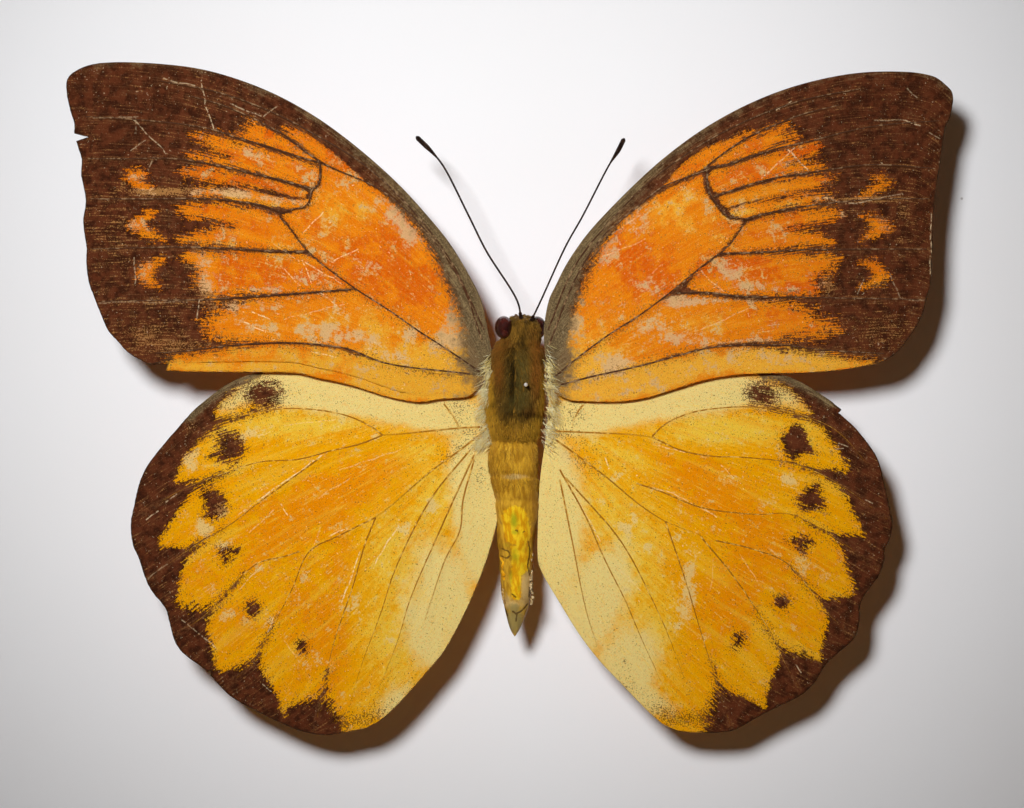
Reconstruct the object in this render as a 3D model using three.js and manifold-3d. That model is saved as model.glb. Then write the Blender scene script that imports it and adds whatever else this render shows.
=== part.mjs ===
// A framed butterfly: a spread specimen on its pin, over a card in a glazed wooden box frame.
// Millimetres. X runs to the right, Y from the glass to the back, Z up from the foot of the frame.
import * as THREE from 'three';
import { mergeVertices } from 'three/addons/utils/BufferGeometryUtils.js';
import Module from 'manifold-3d';

const wasm = await Module();
wasm.setup();

// Driving dimensions of the frame
const SIGHT_WIDTH = 140;
const SIGHT_HEIGHT = 116;
const RAIL_FACE = 12;
const LIP_OVERLAP = 4;
const LIP_THICKNESS = 4.5;
const ROUND_OVER = 2.5;
const SIGHT_BEVEL = 1.5;
const GLASS_THICKNESS = 2;
const SPACER_DEPTH = 20.6;
const SPACER_THICKNESS = 3.6;
const CARD_THICKNESS = 4;
const BOARD_THICKNESS = 3;
const BACK_RECESS = 3;
const FIT_GAP = 0.2;
const CUT_GAP = 0.3;
const CURVE_STEPS = 5;
const ROUND_SIDES = 8;

// Frame sizes that follow from them
const OUTER_WIDTH = SIGHT_WIDTH + 2 * RAIL_FACE;
const OUTER_HEIGHT = SIGHT_HEIGHT + 2 * RAIL_FACE;
const WALL = RAIL_FACE - LIP_OVERLAP;
const GLASS_FRONT = LIP_THICKNESS + FIT_GAP;
const SPACER_FRONT = GLASS_FRONT + GLASS_THICKNESS + FIT_GAP;
const CARD_FRONT = SPACER_FRONT + SPACER_DEPTH + FIT_GAP;
const BOARD_FRONT = CARD_FRONT + CARD_THICKNESS + FIT_GAP;
const BOARD_BACK = BOARD_FRONT + BOARD_THICKNESS;
const DEPTH = BOARD_BACK + BACK_RECESS;
const FRONT_Y = -DEPTH / 2;
const CENTRE_Z = OUTER_HEIGHT / 2;
const PANEL_WIDTH = OUTER_WIDTH - 2 * (WALL + FIT_GAP);
const PANEL_HEIGHT = OUTER_HEIGHT - 2 * (WALL + FIT_GAP);

// Fastenings behind the back board
const POINT = { width: 8, length: 11, thickness: 0.6, bite: 4 };
const POINT_PLACES = { long: [-45, 45], short: [0] };
const HANGER = { length: 44, height: 8, thickness: 0.8, teeth: 7, toothPitch: 2.4, toothDepth: 1.4 };
const HANGER_DROP = 20;
const NAIL = { headRadius: 1.5, headThickness: 0.6, shankRadius: 0.5, shankLength: 2.2, spacing: 38 };

// The specimen has a frame of its own on the card: x to its right wing, y to its head, z off the card
const PLATE = 0.3;
const RIDGE = 0.2;
const RIDGE_SPREAD = 0.016;
const SPAN_STEPS = 11;
const SPAN_CROWDING = 1.35;
const CHORD_STEPS = 10;
const FOREWING = { root: 11.0, rise: 0.9, camber: 0.9 };
const HINDWING = { root: 9.6, rise: -0.3, camber: 0.8 };
const PIN = { x: 1.5, y: 2.1, top: 15, tip: -3.3, taper: 1, radius: 0.22 };
const HEAD_ROLL = THREE.MathUtils.degToRad(20);

// Wing outlines from the root to the apex, round the outer margin, and along the rear edge to its end.
// Each vein is a place along the outer margin, from 0 at the apex to 1, and where its ridge starts.
const FORE_VEINS = [[0.06, 0], [0.2, 0.5], [0.36, 0.5], [0.53, 0.4], [0.69, 0.3], [0.93, 0.1]];
const HIND_VEINS = [[0.12, 0.1], [0.24, 0.4], [0.37, 0.5], [0.51, 0.5], [0.66, 0.5], [0.8, 0.4], [0.93, 0.2]];

const WINGS = {
  forewing_left: {
    side: -1, pose: FOREWING, veins: FORE_VEINS, color: 0xb8601c,
    front: [[-2.8, 5.7], [-3.1, 10.2], [-4.6, 14], [-10.1, 21.6], [-18.4, 29.3], [-27.5, 34.6],
      [-38.2, 37.4], [-44.2, 37.5], [-47.5, 36.8]],
    outer: [[-49, 35.2], [-48.5, 32.3], [-47.6, 28.2], [-46.8, 22.2], [-47, 19.7], [-46.7, 16.4],
      [-46.3, 12.8], [-44.2, 7.9], [-42.2, 5.7], [-39.8, 4.5]],
    back: [[-3.5, 1.6], [-6.8, 0.6], [-10.1, 0.2], [-18.9, 2.4], [-23.3, 3.4], [-35.4, 3.6]],
    notch: [[-49.5, 30.2], [-46.5, 29.3], [-49.5, 28.4]],
  },
  forewing_right: {
    side: 1, pose: FOREWING, veins: FORE_VEINS, color: 0xb8601c,
    front: [[3.7, 6.5], [3.9, 10.6], [6.6, 16.5], [9.7, 20.2], [18.5, 28.4], [27.8, 33.7],
      [38.8, 36.4], [43.8, 36.4], [46.8, 35.8]],
    outer: [[48.5, 33.8], [48, 31], [46.9, 25.5], [46.3, 21.3], [46.2, 18], [46, 13.6], [44.4, 8.5],
      [43, 6.4], [39.9, 4.4]],
    back: [[5.1, 1.3], [8, 0.3], [11.3, 0.3], [17.9, 1.6], [24.5, 3.2], [35, 3.6]],
  },
  hindwing_left: {
    side: -1, pose: HINDWING, veins: HIND_VEINS, color: 0xd39a1e,
    front: [[-2.9, 1.5], [-7.9, 3.3], [-18.9, 4.6], [-27.5, 3.6], [-31, 2.4]],
    outer: [[-34.3, -0.1], [-37.1, -3], [-40.1, -7], [-41.9, -13], [-41.6, -15.6], [-39, -21.2],
      [-37.8, -23], [-37.5, -24.9], [-36.4, -27.1], [-34.3, -28.7], [-31.9, -31.1], [-29.5, -33.1],
      [-26.4, -34.4], [-23.3, -35.9], [-20, -36.4], [-16.2, -35.6]],
    back: [[-2.6, -2.3], [-2.3, -6.7], [-2.2, -14.4], [-4.8, -22.1], [-7.4, -26.9], [-13.2, -33.7]],
  },
  hindwing_right: {
    side: 1, pose: HINDWING, veins: HIND_VEINS, color: 0xd39a1e,
    front: [[4.8, 1.3], [9.7, 3.1], [20.7, 4.2], [28.2, 3.4], [31.7, 2.4]],
    outer: [[35.6, -0.2], [38.3, -3.3], [41, -9.5], [41.7, -13], [41, -15.8], [40.5, -18.3],
      [38.3, -21.9], [38.1, -24.3], [37.1, -26.3], [35, -28.1], [33.7, -30], [32, -31.8],
      [29, -33.3], [26.4, -34.8], [23.8, -36], [20.7, -36.1], [17.6, -35.8]],
    back: [[4.5, -2.9], [3.6, -7.3], [2.9, -15.5], [5.5, -22.2], [10.8, -29.4], [14.1, -33]],
  },
};

// Body stations from front to back: y, then the centre x and z, then half the width and half the height
const SKULL = { x: 0.9, z: 10.6 };
const HEAD = [
  [9.7, 0.9, 10.6, 0, 0], [9.4, 0.9, 10.6, 1.6, 1.5], [8.5, 0.9, 10.6, 2.3, 2.1], [7.4, 0.8, 10.5, 2.1, 1.9],
  [6.6, 0.7, 10.4, 1.4, 1.4], [5.4, 0.6, 10.3, 0.9, 0.9], [5.2, 0.6, 10.3, 0, 0],
];
const THORAX = [
  [6.6, 0.7, 10.3, 0, 0], [6.2, 0.6, 10.3, 1.8, 1.7], [4.6, 0.5, 10.2, 2.9, 2.7], [2.2, 0.4, 10.2, 3.3, 3.2],
  [0, 0.4, 10.1, 3.1, 3.1], [-2, 0.4, 10, 2.5, 2.6], [-3.4, 0.5, 9.9, 1.6, 1.8], [-3.7, 0.5, 9.9, 0, 0],
];
const ABDOMEN = [
  [-2, 0.5, 9.8, 0, 0], [-2.3, 0.5, 9.8, 1.4, 1.4], [-4.5, 0.5, 9.7, 2.1, 2.2], [-8, 0.6, 9.5, 2.5, 2.6],
  [-12, 0.6, 9.2, 2.5, 2.6], [-16, 0.6, 8.9, 2.1, 2.2], [-19.5, 0.5, 8.7, 1.6, 1.7],
  [-23, 0.4, 8.5, 1.3, 1.3], [-25.2, 0.3, 8.4, 0.8, 0.8], [-25.7, 0.3, 8.4, 0, 0],
];
const BODY_X = 0.4;
const ABDOMEN_SEGMENTS = 8;
const SEGMENT_GROOVE = 0.94;
const EYE = { x: 1.95, y: 8.4, z: 0.1, size: [1.0, 1.25, 1.2] };
const ANTENNAE = {
  antenna_left: [[1, 9.3, 12.1], [0.6, 11.2, 12.4], [-2.8, 16.7, 12.7], [-4.7, 20.5, 12.7],
    [-7.5, 26, 12.2], [-8.6, 27.4, 12], [-10.5, 29.3, 11.6]],
  antenna_right: [[2.1, 9.1, 11.9], [3.2, 11.4, 12.4], [5.9, 17.3, 12.7], [7.7, 20.5, 12.7],
    [10.6, 26.1, 12.2], [11.6, 27.7, 12], [12.3, 29.1, 11.6]],
};
const ANTENNA = { scape: 0.24, shaft: 0.12, club: 0.24, clubShare: 0.14 };
const LEGS = [
  [[1.2, 4.4, 8.6], [2.8, 6, 6.6], [2.4, 3.4, 4.8], [2.5, 0.8, 4.2]],
  [[1.4, 2, 8.2], [3.2, 2.6, 5.9], [2, -0.6, 4.3], [1.3, -3.4, 3.9]],
  [[1.4, -0.4, 8.2], [3.4, -1.2, 5.7], [2.2, -4.4, 4.2], [1.5, -7.6, 3.6]],
];
const LEG = { hip: 0.32, toe: 0.13 };
const PALPS = [
  [[0.45, 8.9, 9.6], [0.35, 9.9, 10], [0.35, 10.4, 10.8]],
  [[1.35, 8.9, 9.6], [1.45, 9.9, 10], [1.45, 10.4, 10.8]],
];
const PALP = { root: 0.42, tip: 0.2 };
const TONGUE = { x: 0.9, y: 8.9, z: 8.3, coil: 0.7, radius: 0.15 };

// Solids and booleans

function toSolid(geometry) {
  const bare = geometry.clone();
  bare.deleteAttribute('normal');
  bare.deleteAttribute('uv');
  const merged = mergeVertices(bare, 1e-5);
  return new wasm.Manifold(new wasm.Mesh({
    numProp: 3,
    vertProperties: new Float32Array(merged.attributes.position.array),
    triVerts: new Uint32Array(merged.index.array),
  }));
}

function toGeometry(solid) {
  const mesh = solid.getMesh();
  const geometry = new THREE.BufferGeometry();
  geometry.setAttribute('position', new THREE.BufferAttribute(new Float32Array(mesh.vertProperties), 3));
  geometry.setIndex(new THREE.BufferAttribute(new Uint32Array(mesh.triVerts), 1));
  geometry.computeVertexNormals();
  return geometry;
}

function cut(geometry, ...tools) {
  return toGeometry(tools.reduce((solid, tool) => solid.subtract(toSolid(tool)), toSolid(geometry)));
}

function join(geometry, ...others) {
  return toGeometry(others.reduce((solid, other) => solid.add(toSolid(other)), toSolid(geometry)));
}

function piece(name, geometry, color, roughness, metalness = 0) {
  const mesh = new THREE.Mesh(geometry, new THREE.MeshStandardMaterial({ color, roughness, metalness }));
  mesh.name = name;
  return mesh;
}

// Moves every vertex of a geometry by a rule
function warp(geometry, rule) {
  const position = geometry.attributes.position;
  const point = new THREE.Vector3();
  for (let i = 0; i < position.count; i += 1) {
    point.fromBufferAttribute(position, i);
    rule(point);
    position.setXYZ(i, point.x, point.y, point.z);
  }
  return geometry;
}

function smoothCurve(points) {
  const places = points.map(([x, y, z = 0]) => new THREE.Vector3(x, y, z));
  return new THREE.CatmullRomCurve3(places, false, 'centripetal');
}

// Frame pieces

// A rail's section, drawn with depth across and the distance in from the outer edge upwards
function railSection() {
  const section = new THREE.Shape();
  section.moveTo(DEPTH, 0);
  section.lineTo(DEPTH, WALL);
  section.lineTo(LIP_THICKNESS, WALL);
  section.lineTo(LIP_THICKNESS, RAIL_FACE);
  section.lineTo(SIGHT_BEVEL, RAIL_FACE);
  section.lineTo(0, RAIL_FACE - SIGHT_BEVEL);
  section.lineTo(0, ROUND_OVER);
  section.absarc(ROUND_OVER, ROUND_OVER, ROUND_OVER, Math.PI, 1.5 * Math.PI, false);
  return section;
}

// One mitred rail lying along X with its outer edge on Z = 0 and its face at Y = 0
function railGeometry(length, slotPlaces) {
  const rail = new THREE.ExtrudeGeometry(railSection(), {
    depth: 1, bevelEnabled: false, curveSegments: CURVE_STEPS,
  });
  rail.applyMatrix4(new THREE.Matrix4().makeBasis(
    new THREE.Vector3(0, 1, 0), new THREE.Vector3(0, 0, 1), new THREE.Vector3(1, 0, 0),
  ));
  warp(rail, (p) => {
    const end = p.x < 0.5 ? -1 : 1;
    p.x = end * (length / 2 - p.z - CUT_GAP / 2);
  });
  const slots = slotPlaces.map((x) => {
    const slot = new THREE.BoxGeometry(
      POINT.width + 2 * CUT_GAP, POINT.thickness + 2 * CUT_GAP, POINT.bite + 2 * CUT_GAP,
    );
    slot.translate(x, BOARD_BACK + FIT_GAP + POINT.thickness / 2, WALL - POINT.bite / 2);
    return slot;
  });
  return cut(rail, ...slots);
}

function panel(name, thickness, front, color, roughness) {
  const mesh = piece(name, new THREE.BoxGeometry(PANEL_WIDTH, thickness, PANEL_HEIGHT), color, roughness);
  mesh.position.set(0, FRONT_Y + front + thickness / 2, CENTRE_Z);
  return mesh;
}

// A flat steel point, round at its free end, that holds the back board in
function pointGeometry() {
  const outline = new THREE.Shape();
  const half = POINT.width / 2;
  outline.moveTo(-half, 0);
  outline.lineTo(half, 0);
  outline.lineTo(half, POINT.length - half);
  outline.absarc(0, POINT.length - half, half, 0, Math.PI, false);
  const tab = new THREE.ExtrudeGeometry(outline, {
    depth: POINT.thickness, bevelEnabled: false, curveSegments: CURVE_STEPS,
  });
  tab.rotateX(Math.PI / 2);
  return tab.translate(0, BOARD_BACK + FIT_GAP + POINT.thickness, WALL - POINT.bite);
}

// A toothed hanging strip with a nail hole at each end
function hangerGeometry() {
  const { length, height, thickness, teeth, toothPitch, toothDepth } = HANGER;
  const strip = new THREE.Shape();
  const firstTooth = -teeth * toothPitch / 2;
  strip.moveTo(-length / 2, height);
  strip.lineTo(-length / 2, 0);
  strip.lineTo(firstTooth, 0);
  for (let i = 0; i < teeth; i += 1) {
    strip.lineTo(firstTooth + (i + 0.5) * toothPitch, toothDepth);
    strip.lineTo(firstTooth + (i + 1) * toothPitch, 0);
  }
  strip.lineTo(length / 2, 0);
  strip.lineTo(length / 2, height);
  for (const side of [-1, 1]) {
    const hole = new THREE.Path();
    hole.absarc(side * NAIL.spacing / 2, height / 2, NAIL.shankRadius + CUT_GAP, 0, 2 * Math.PI, true);
    strip.holes.push(hole);
  }
  const geometry = new THREE.ExtrudeGeometry(strip, {
    depth: thickness, bevelEnabled: false, curveSegments: CURVE_STEPS,
  });
  geometry.rotateX(Math.PI / 2);
  return geometry.translate(0, thickness, -height / 2);
}

function nailGeometry() {
  const { headRadius, headThickness, shankRadius, shankLength } = NAIL;
  const profile = [
    [0, -shankLength], [shankRadius, -shankLength], [shankRadius, 0], [headRadius, 0],
    [headRadius, headThickness / 2], [headRadius / 2, headThickness], [0, headThickness],
  ];
  return new THREE.LatheGeometry(profile.map(([r, y]) => new THREE.Vector2(r, y)), ROUND_SIDES);
}

// Clears a round shank along Y
function roundCutter(radius, length) {
  return new THREE.CylinderGeometry(radius + CUT_GAP, radius + CUT_GAP, length, ROUND_SIDES);
}

function buildFrame() {
  const frame = new THREE.Group();
  let pointNumber = 0;
  for (const [quarterTurns, side] of ['bottom', 'left', 'top', 'right'].entries()) {
    const isLong = quarterTurns % 2 === 0;
    const length = isLong ? OUTER_WIDTH : OUTER_HEIGHT;
    const across = isLong ? OUTER_HEIGHT : OUTER_WIDTH;
    const places = isLong ? POINT_PLACES.long : POINT_PLACES.short;
    const pivot = new THREE.Group();
    pivot.position.set(0, FRONT_Y, CENTRE_Z);
    pivot.rotation.y = quarterTurns * Math.PI / 2;
    const rail = piece(`rail_${side}`, railGeometry(length, places), 0x5a3a22, 0.45);
    rail.position.z = -across / 2;
    pivot.add(rail);
    for (const x of places) {
      pointNumber += 1;
      const tab = piece(`steel_point_${pointNumber}`, pointGeometry(), 0x9a9a9c, 0.35, 1);
      tab.position.set(x, 0, -across / 2);
      pivot.add(tab);
    }
    frame.add(pivot);
  }

  const glass = panel('glass', GLASS_THICKNESS, GLASS_FRONT, 0xdfe8e6, 0.05);
  glass.material.transparent = true;
  glass.material.opacity = 0.15;
  frame.add(glass);
  const spacerY = FRONT_Y + SPACER_FRONT + SPACER_DEPTH / 2;
  const sideSpacer = PANEL_HEIGHT - 2 * (SPACER_THICKNESS + FIT_GAP);
  for (const [name, side] of [['spacer_bottom', -1], ['spacer_top', 1]]) {
    const strip = new THREE.BoxGeometry(PANEL_WIDTH, SPACER_DEPTH, SPACER_THICKNESS);
    const spacer = piece(name, strip, 0xe9e7e4, 0.8);
    spacer.position.set(0, spacerY, CENTRE_Z + side * (PANEL_HEIGHT - SPACER_THICKNESS) / 2);
    frame.add(spacer);
  }
  for (const [name, side] of [['spacer_left', -1], ['spacer_right', 1]]) {
    const strip = new THREE.BoxGeometry(SPACER_THICKNESS, SPACER_DEPTH, sideSpacer);
    const spacer = piece(name, strip, 0xe9e7e4, 0.8);
    spacer.position.set(side * (PANEL_WIDTH - SPACER_THICKNESS) / 2, spacerY, CENTRE_Z);
    frame.add(spacer);
  }

  const card = panel('mounting_card', CARD_THICKNESS, CARD_FRONT, 0xe8e6e5, 0.85);
  const pinHole = roundCutter(PIN.radius, -2 * PIN.tip + CUT_GAP);
  card.geometry = cut(card.geometry, pinHole.translate(PIN.x, -CARD_THICKNESS / 2, PIN.y));
  frame.add(card);

  const board = panel('back_board', BOARD_THICKNESS, BOARD_FRONT, 0x7a5a3c, 0.8);
  const hangerZ = OUTER_HEIGHT - HANGER_DROP;
  const nailPlaces = [['hanger_nail_left', -1], ['hanger_nail_right', 1]];
  const nailHoles = nailPlaces.map(([, side]) => {
    const hole = roundCutter(NAIL.shankRadius, 2 * (NAIL.shankLength - HANGER.thickness));
    return hole.translate(side * NAIL.spacing / 2, BOARD_THICKNESS / 2, hangerZ - CENTRE_Z);
  });
  board.geometry = cut(board.geometry, ...nailHoles);
  frame.add(board);

  const hanger = piece('hanger', hangerGeometry(), 0xb09a62, 0.4, 1);
  hanger.position.set(0, FRONT_Y + BOARD_BACK + FIT_GAP, hangerZ);
  frame.add(hanger);
  for (const [name, side] of nailPlaces) {
    const nail = piece(name, nailGeometry(), 0x9a9a9c, 0.35, 1);
    const seat = FRONT_Y + BOARD_BACK + HANGER.thickness + 2 * FIT_GAP;
    nail.position.set(side * NAIL.spacing / 2, seat, hangerZ);
    frame.add(nail);
  }
  return frame;
}

// Specimen pieces

// A closed lump through a row of stations, grown by a clearance where it is used as a cutter
function lump(stations, around, rings, { grow = 0, grooves = 0 } = {}) {
  const centres = stations.map(([y, x, z]) => new THREE.Vector3(x, y, z));
  const halves = stations.map(([, , , wide, tall]) => new THREE.Vector3(wide, tall, 0));
  const line = new THREE.CatmullRomCurve3(centres, false, 'catmullrom');
  const sizes = new THREE.CatmullRomCurve3(halves, false, 'catmullrom');
  return warp(new THREE.SphereGeometry(1, around, rings), (p) => {
    const ring = Math.round(Math.acos(THREE.MathUtils.clamp(p.y, -1, 1)) / Math.PI * rings);
    const reach = Math.hypot(p.x, p.z) || 1;
    const place = ring / rings;
    const centre = line.getPoint(place);
    const size = sizes.getPoint(place);
    const isPole = ring === 0 || ring === rings;
    const inGroove = grooves > 0 && ring % Math.round(rings / grooves) === 0;
    const scale = isPole ? 0 : (inGroove ? SEGMENT_GROOVE : 1) / reach;
    const extra = isPole ? 0 : grow / reach;
    const endwise = grow * (1 - 2 * place);
    const x = centre.x + p.x * (size.x * scale + extra);
    const z = centre.z + p.z * (size.y * scale + extra);
    p.set(x, centre.y + endwise, z);
  });
}

// A round tube along a curve, with its radius worked out at each place from 0 to 1
function taperedTube(points, radiusAt, sides, steps) {
  const path = smoothCurve(points);
  const frames = path.computeFrenetFrames(steps);
  return warp(new THREE.CylinderGeometry(1, 1, 1, sides, steps), (p) => {
    const step = Math.round((p.y + 0.5) * steps);
    const radius = radiusAt(step / steps);
    const across = frames.normals[step].clone().multiplyScalar(p.x * radius);
    const along = frames.binormals[step].clone().multiplyScalar(-p.z * radius);
    p.copy(path.getPointAt(step / steps)).add(across).add(along);
  });
}

// Places across a wing: an even spread, with three lines close together at each vein
function chordLines(veins) {
  const lines = veins.flatMap(([at]) => [at - RIDGE_SPREAD, at, at + RIDGE_SPREAD]);
  for (let i = 0; i <= CHORD_STEPS; i += 1) {
    const place = i / CHORD_STEPS;
    if (i === 0 || i === CHORD_STEPS || lines.every((line) => Math.abs(line - place) > RIDGE_SPREAD)) {
      lines.push(place);
    }
  }
  return lines.sort((a, b) => a - b);
}

// A thin curved plate between a wing's three edges, with a low ridge along each main vein
function wingPlate({ side, pose, veins, front, outer, back }) {
  const frontEdge = smoothCurve([...front, outer[0]]);
  const outerEdge = smoothCurve(outer);
  const backEdge = smoothCurve([...back, outer.at(-1)]);
  const apex = frontEdge.getPoint(1);
  const corner = backEdge.getPoint(1);
  const lines = chordLines(veins);
  const steps = lines.length - 1;
  const ridgeStart = new Map(veins);
  return warp(new THREE.BoxGeometry(1, 1, 1, steps, SPAN_STEPS, 1), (p) => {
    const index = Math.round((p.x + 0.5) * steps);
    const t = lines[side < 0 ? steps - index : index];
    const s = 1 - (0.5 - p.y) ** SPAN_CROWDING;
    const bulge = outerEdge.getPointAt(t).sub(apex.clone().lerp(corner, t)).multiplyScalar(s);
    const place = frontEdge.getPointAt(s).lerp(backEdge.getPointAt(s), t).add(bulge);
    const height = pose.root + pose.rise * s + pose.camber * Math.sin(Math.PI * s) * Math.sin(Math.PI * t);
    const start = ridgeStart.get(t);
    const isRidge = p.z > 0 && start !== undefined && s >= start;
    p.set(place.x, place.y, height + Math.sign(p.z) * PLATE / 2 + (isRidge ? RIDGE : 0));
  });
}

function notchCutter(corners) {
  const wedge = new THREE.Shape(corners.map(([x, y]) => new THREE.Vector2(x, y)));
  const cutter = new THREE.ExtrudeGeometry(wedge, { depth: FOREWING.root, bevelEnabled: false });
  return cutter.translate(0, 0, FOREWING.root / 2);
}

function rolled(geometry) {
  const { x, z } = SKULL;
  return geometry.translate(-x, 0, -z).rotateY(HEAD_ROLL).translate(x, 0, z);
}

function eyeGeometry(side, grow = 0) {
  const { x, z } = SKULL;
  const [wide, long, tall] = EYE.size.map((size) => size + grow);
  const eye = new THREE.SphereGeometry(1, 12, 7).scale(wide, long, tall);
  return rolled(eye.translate(x + side * EYE.x, EYE.y, z + EYE.z));
}

function buildHead() {
  const palpRadius = (place) => THREE.MathUtils.lerp(PALP.root, PALP.tip, place);
  const palps = PALPS.map((points) => taperedTube(points, palpRadius, 5, 3));
  const tongue = new THREE.TorusGeometry(TONGUE.coil, TONGUE.radius, 4, 9).rotateY(Math.PI / 2);
  tongue.translate(TONGUE.x, TONGUE.y, TONGUE.z);
  const skull = rolled(join(lump(HEAD, 14, 10), ...palps, tongue));
  const antennaSockets = Object.values(ANTENNAE).map(([base]) => {
    return new THREE.SphereGeometry(ANTENNA.scape + CUT_GAP, 7, 5).translate(...base);
  });
  return cut(skull, eyeGeometry(-1, CUT_GAP), eyeGeometry(1, CUT_GAP), ...antennaSockets);
}

function buildThorax(pinHole) {
  const legs = LEGS.flatMap((points) => [-1, 1].map((side) => {
    const placed = points.map(([x, y, z]) => [BODY_X + side * x, y, z]);
    return taperedTube(placed, (k) => THREE.MathUtils.lerp(LEG.hip, LEG.toe, k), 5, 7);
  }));
  const neckSocket = lump(HEAD, 10, 10, { grow: CUT_GAP });
  const waistSocket = lump(ABDOMEN, 12, 12, { grow: CUT_GAP });
  return cut(join(lump(THORAX, 16, 12), ...legs), neckSocket, waistSocket, pinHole);
}

function antennaRadius(place) {
  if (place === 0) {
    return ANTENNA.scape;
  }
  const club = THREE.MathUtils.smoothstep(place, 1 - ANTENNA.clubShare, 1 - ANTENNA.clubShare / 3);
  return place === 1 ? ANTENNA.club / 2 : THREE.MathUtils.lerp(ANTENNA.shaft, ANTENNA.club, club);
}

function buildSpecimen() {
  const specimen = new THREE.Group();
  specimen.rotation.x = Math.PI / 2;
  specimen.position.set(0, FRONT_Y + CARD_FRONT, CENTRE_Z);

  const pinHole = roundCutter(PIN.radius, PIN.top - PIN.tip);
  pinHole.rotateX(Math.PI / 2).translate(PIN.x, PIN.y, (PIN.top + PIN.tip) / 2);

  specimen.add(piece('head', buildHead(), 0x5b4a2c, 0.85));
  specimen.add(piece('eye_left', eyeGeometry(-1), 0x2a1510, 0.2));
  specimen.add(piece('eye_right', eyeGeometry(1), 0x2a1510, 0.2));
  specimen.add(piece('thorax', buildThorax(pinHole), 0x6a5426, 0.9));
  const abdomen = lump(ABDOMEN, 12, 3 * ABDOMEN_SEGMENTS, { grooves: ABDOMEN_SEGMENTS });
  specimen.add(piece('abdomen', abdomen, 0x8a6a24, 0.85));

  const bodyCutters = [lump(THORAX, 16, 12, { grow: CUT_GAP }), lump(ABDOMEN, 14, 24, { grow: CUT_GAP })];
  for (const [name, wing] of Object.entries(WINGS)) {
    const notch = wing.notch ? [notchCutter(wing.notch)] : [];
    specimen.add(piece(name, cut(wingPlate(wing), ...bodyCutters, ...notch), wing.color, 0.75));
  }
  for (const [name, points] of Object.entries(ANTENNAE)) {
    specimen.add(piece(name, taperedTube(points, antennaRadius, 6, 16), 0x2c221b, 0.6));
  }

  const pinProfile = [[0, PIN.tip], [PIN.radius, PIN.tip + PIN.taper], [PIN.radius, PIN.top], [0, PIN.top]];
  const pin = new THREE.LatheGeometry(pinProfile.map(([r, z]) => new THREE.Vector2(r, z)), ROUND_SIDES);
  pin.rotateX(Math.PI / 2).translate(PIN.x, PIN.y, 0);
  specimen.add(piece('pin', pin, 0xb9b9bb, 0.25, 1));
  return specimen;
}

const framedButterfly = new THREE.Group();
framedButterfly.add(buildFrame(), buildSpecimen());

export default framedButterfly;
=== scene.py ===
# %% [markdown]
# A framed butterfly. The frame is plain joinery, and the butterfly is the reason to look at it, so most of
# these cells are about thin wings and how their colours break up into scales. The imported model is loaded
# first: it fixes every size, and each finished piece below rides on it.

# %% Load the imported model
import math
import bmesh
import bpy
import numpy as np
from mathutils import Matrix, Vector
from mathutils.bvhtree import BVHTree


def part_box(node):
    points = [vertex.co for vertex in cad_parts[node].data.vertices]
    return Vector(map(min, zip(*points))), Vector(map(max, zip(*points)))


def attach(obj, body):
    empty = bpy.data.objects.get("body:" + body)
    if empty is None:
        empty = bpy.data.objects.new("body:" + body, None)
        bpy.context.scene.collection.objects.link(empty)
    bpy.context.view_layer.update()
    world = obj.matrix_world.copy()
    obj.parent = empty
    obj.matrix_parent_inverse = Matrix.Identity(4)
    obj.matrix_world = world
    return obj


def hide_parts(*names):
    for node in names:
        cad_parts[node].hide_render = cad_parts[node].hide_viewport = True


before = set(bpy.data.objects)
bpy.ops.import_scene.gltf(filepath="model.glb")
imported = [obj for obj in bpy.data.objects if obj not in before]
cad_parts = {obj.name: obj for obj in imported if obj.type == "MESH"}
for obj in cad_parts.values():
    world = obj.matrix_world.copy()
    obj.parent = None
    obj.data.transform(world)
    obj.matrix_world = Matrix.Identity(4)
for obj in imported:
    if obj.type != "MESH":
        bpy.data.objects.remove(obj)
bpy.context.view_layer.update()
MM = 0.001
print("loaded", len(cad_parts), "nodes")

# %% [markdown]
# The specimen was photographed from straight above. Every place on it is given in the pixels of that
# picture, and turned into millimetres on the plane of the wings. A point that stands nearer to the camera
# than that plane is drawn in a little, as the lens would show it, so that outlines still match.

# %% From a place on the photograph to a place in the frame
PHOTO_SIZE = (1024, 808)
MM_PER_PIXEL = 0.11
WING_HEIGHT = 10.5
REACH = 400.0
CARD_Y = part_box("mounting_card")[0].y / MM
CENTRE_Z = (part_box("glass")[0].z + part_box("glass")[1].z) / 2 / MM


def flat(points):
    """Pixels to millimetres right of and above the middle of the picture, on the plane of the wings."""
    points = np.array(points, float).reshape(-1, 2)
    across = points[:, 0] - PHOTO_SIZE[0] / 2
    up = PHOTO_SIZE[1] / 2 - points[:, 1]
    return np.stack([across, up], 1) * MM_PER_PIXEL


def place(spots, height):
    """Flat millimetres and a height off the card to metres in the frame."""
    height = np.broadcast_to(height, len(spots))
    nearer = 1 - (height - WING_HEIGHT) / REACH
    world = np.stack([spots[:, 0] * nearer, CARD_Y - height, CENTRE_Z + spots[:, 1] * nearer], 1)
    return world * MM


print("card front at y", round(CARD_Y, 2), "mm, centre at z", round(CENTRE_Z, 2), "mm")

# %% [markdown]
# The camera stands on the axis of the frame, square to the card. A long lens is used, because a wing
# spread of a hand's width taken from this far shows almost no perspective.

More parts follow.
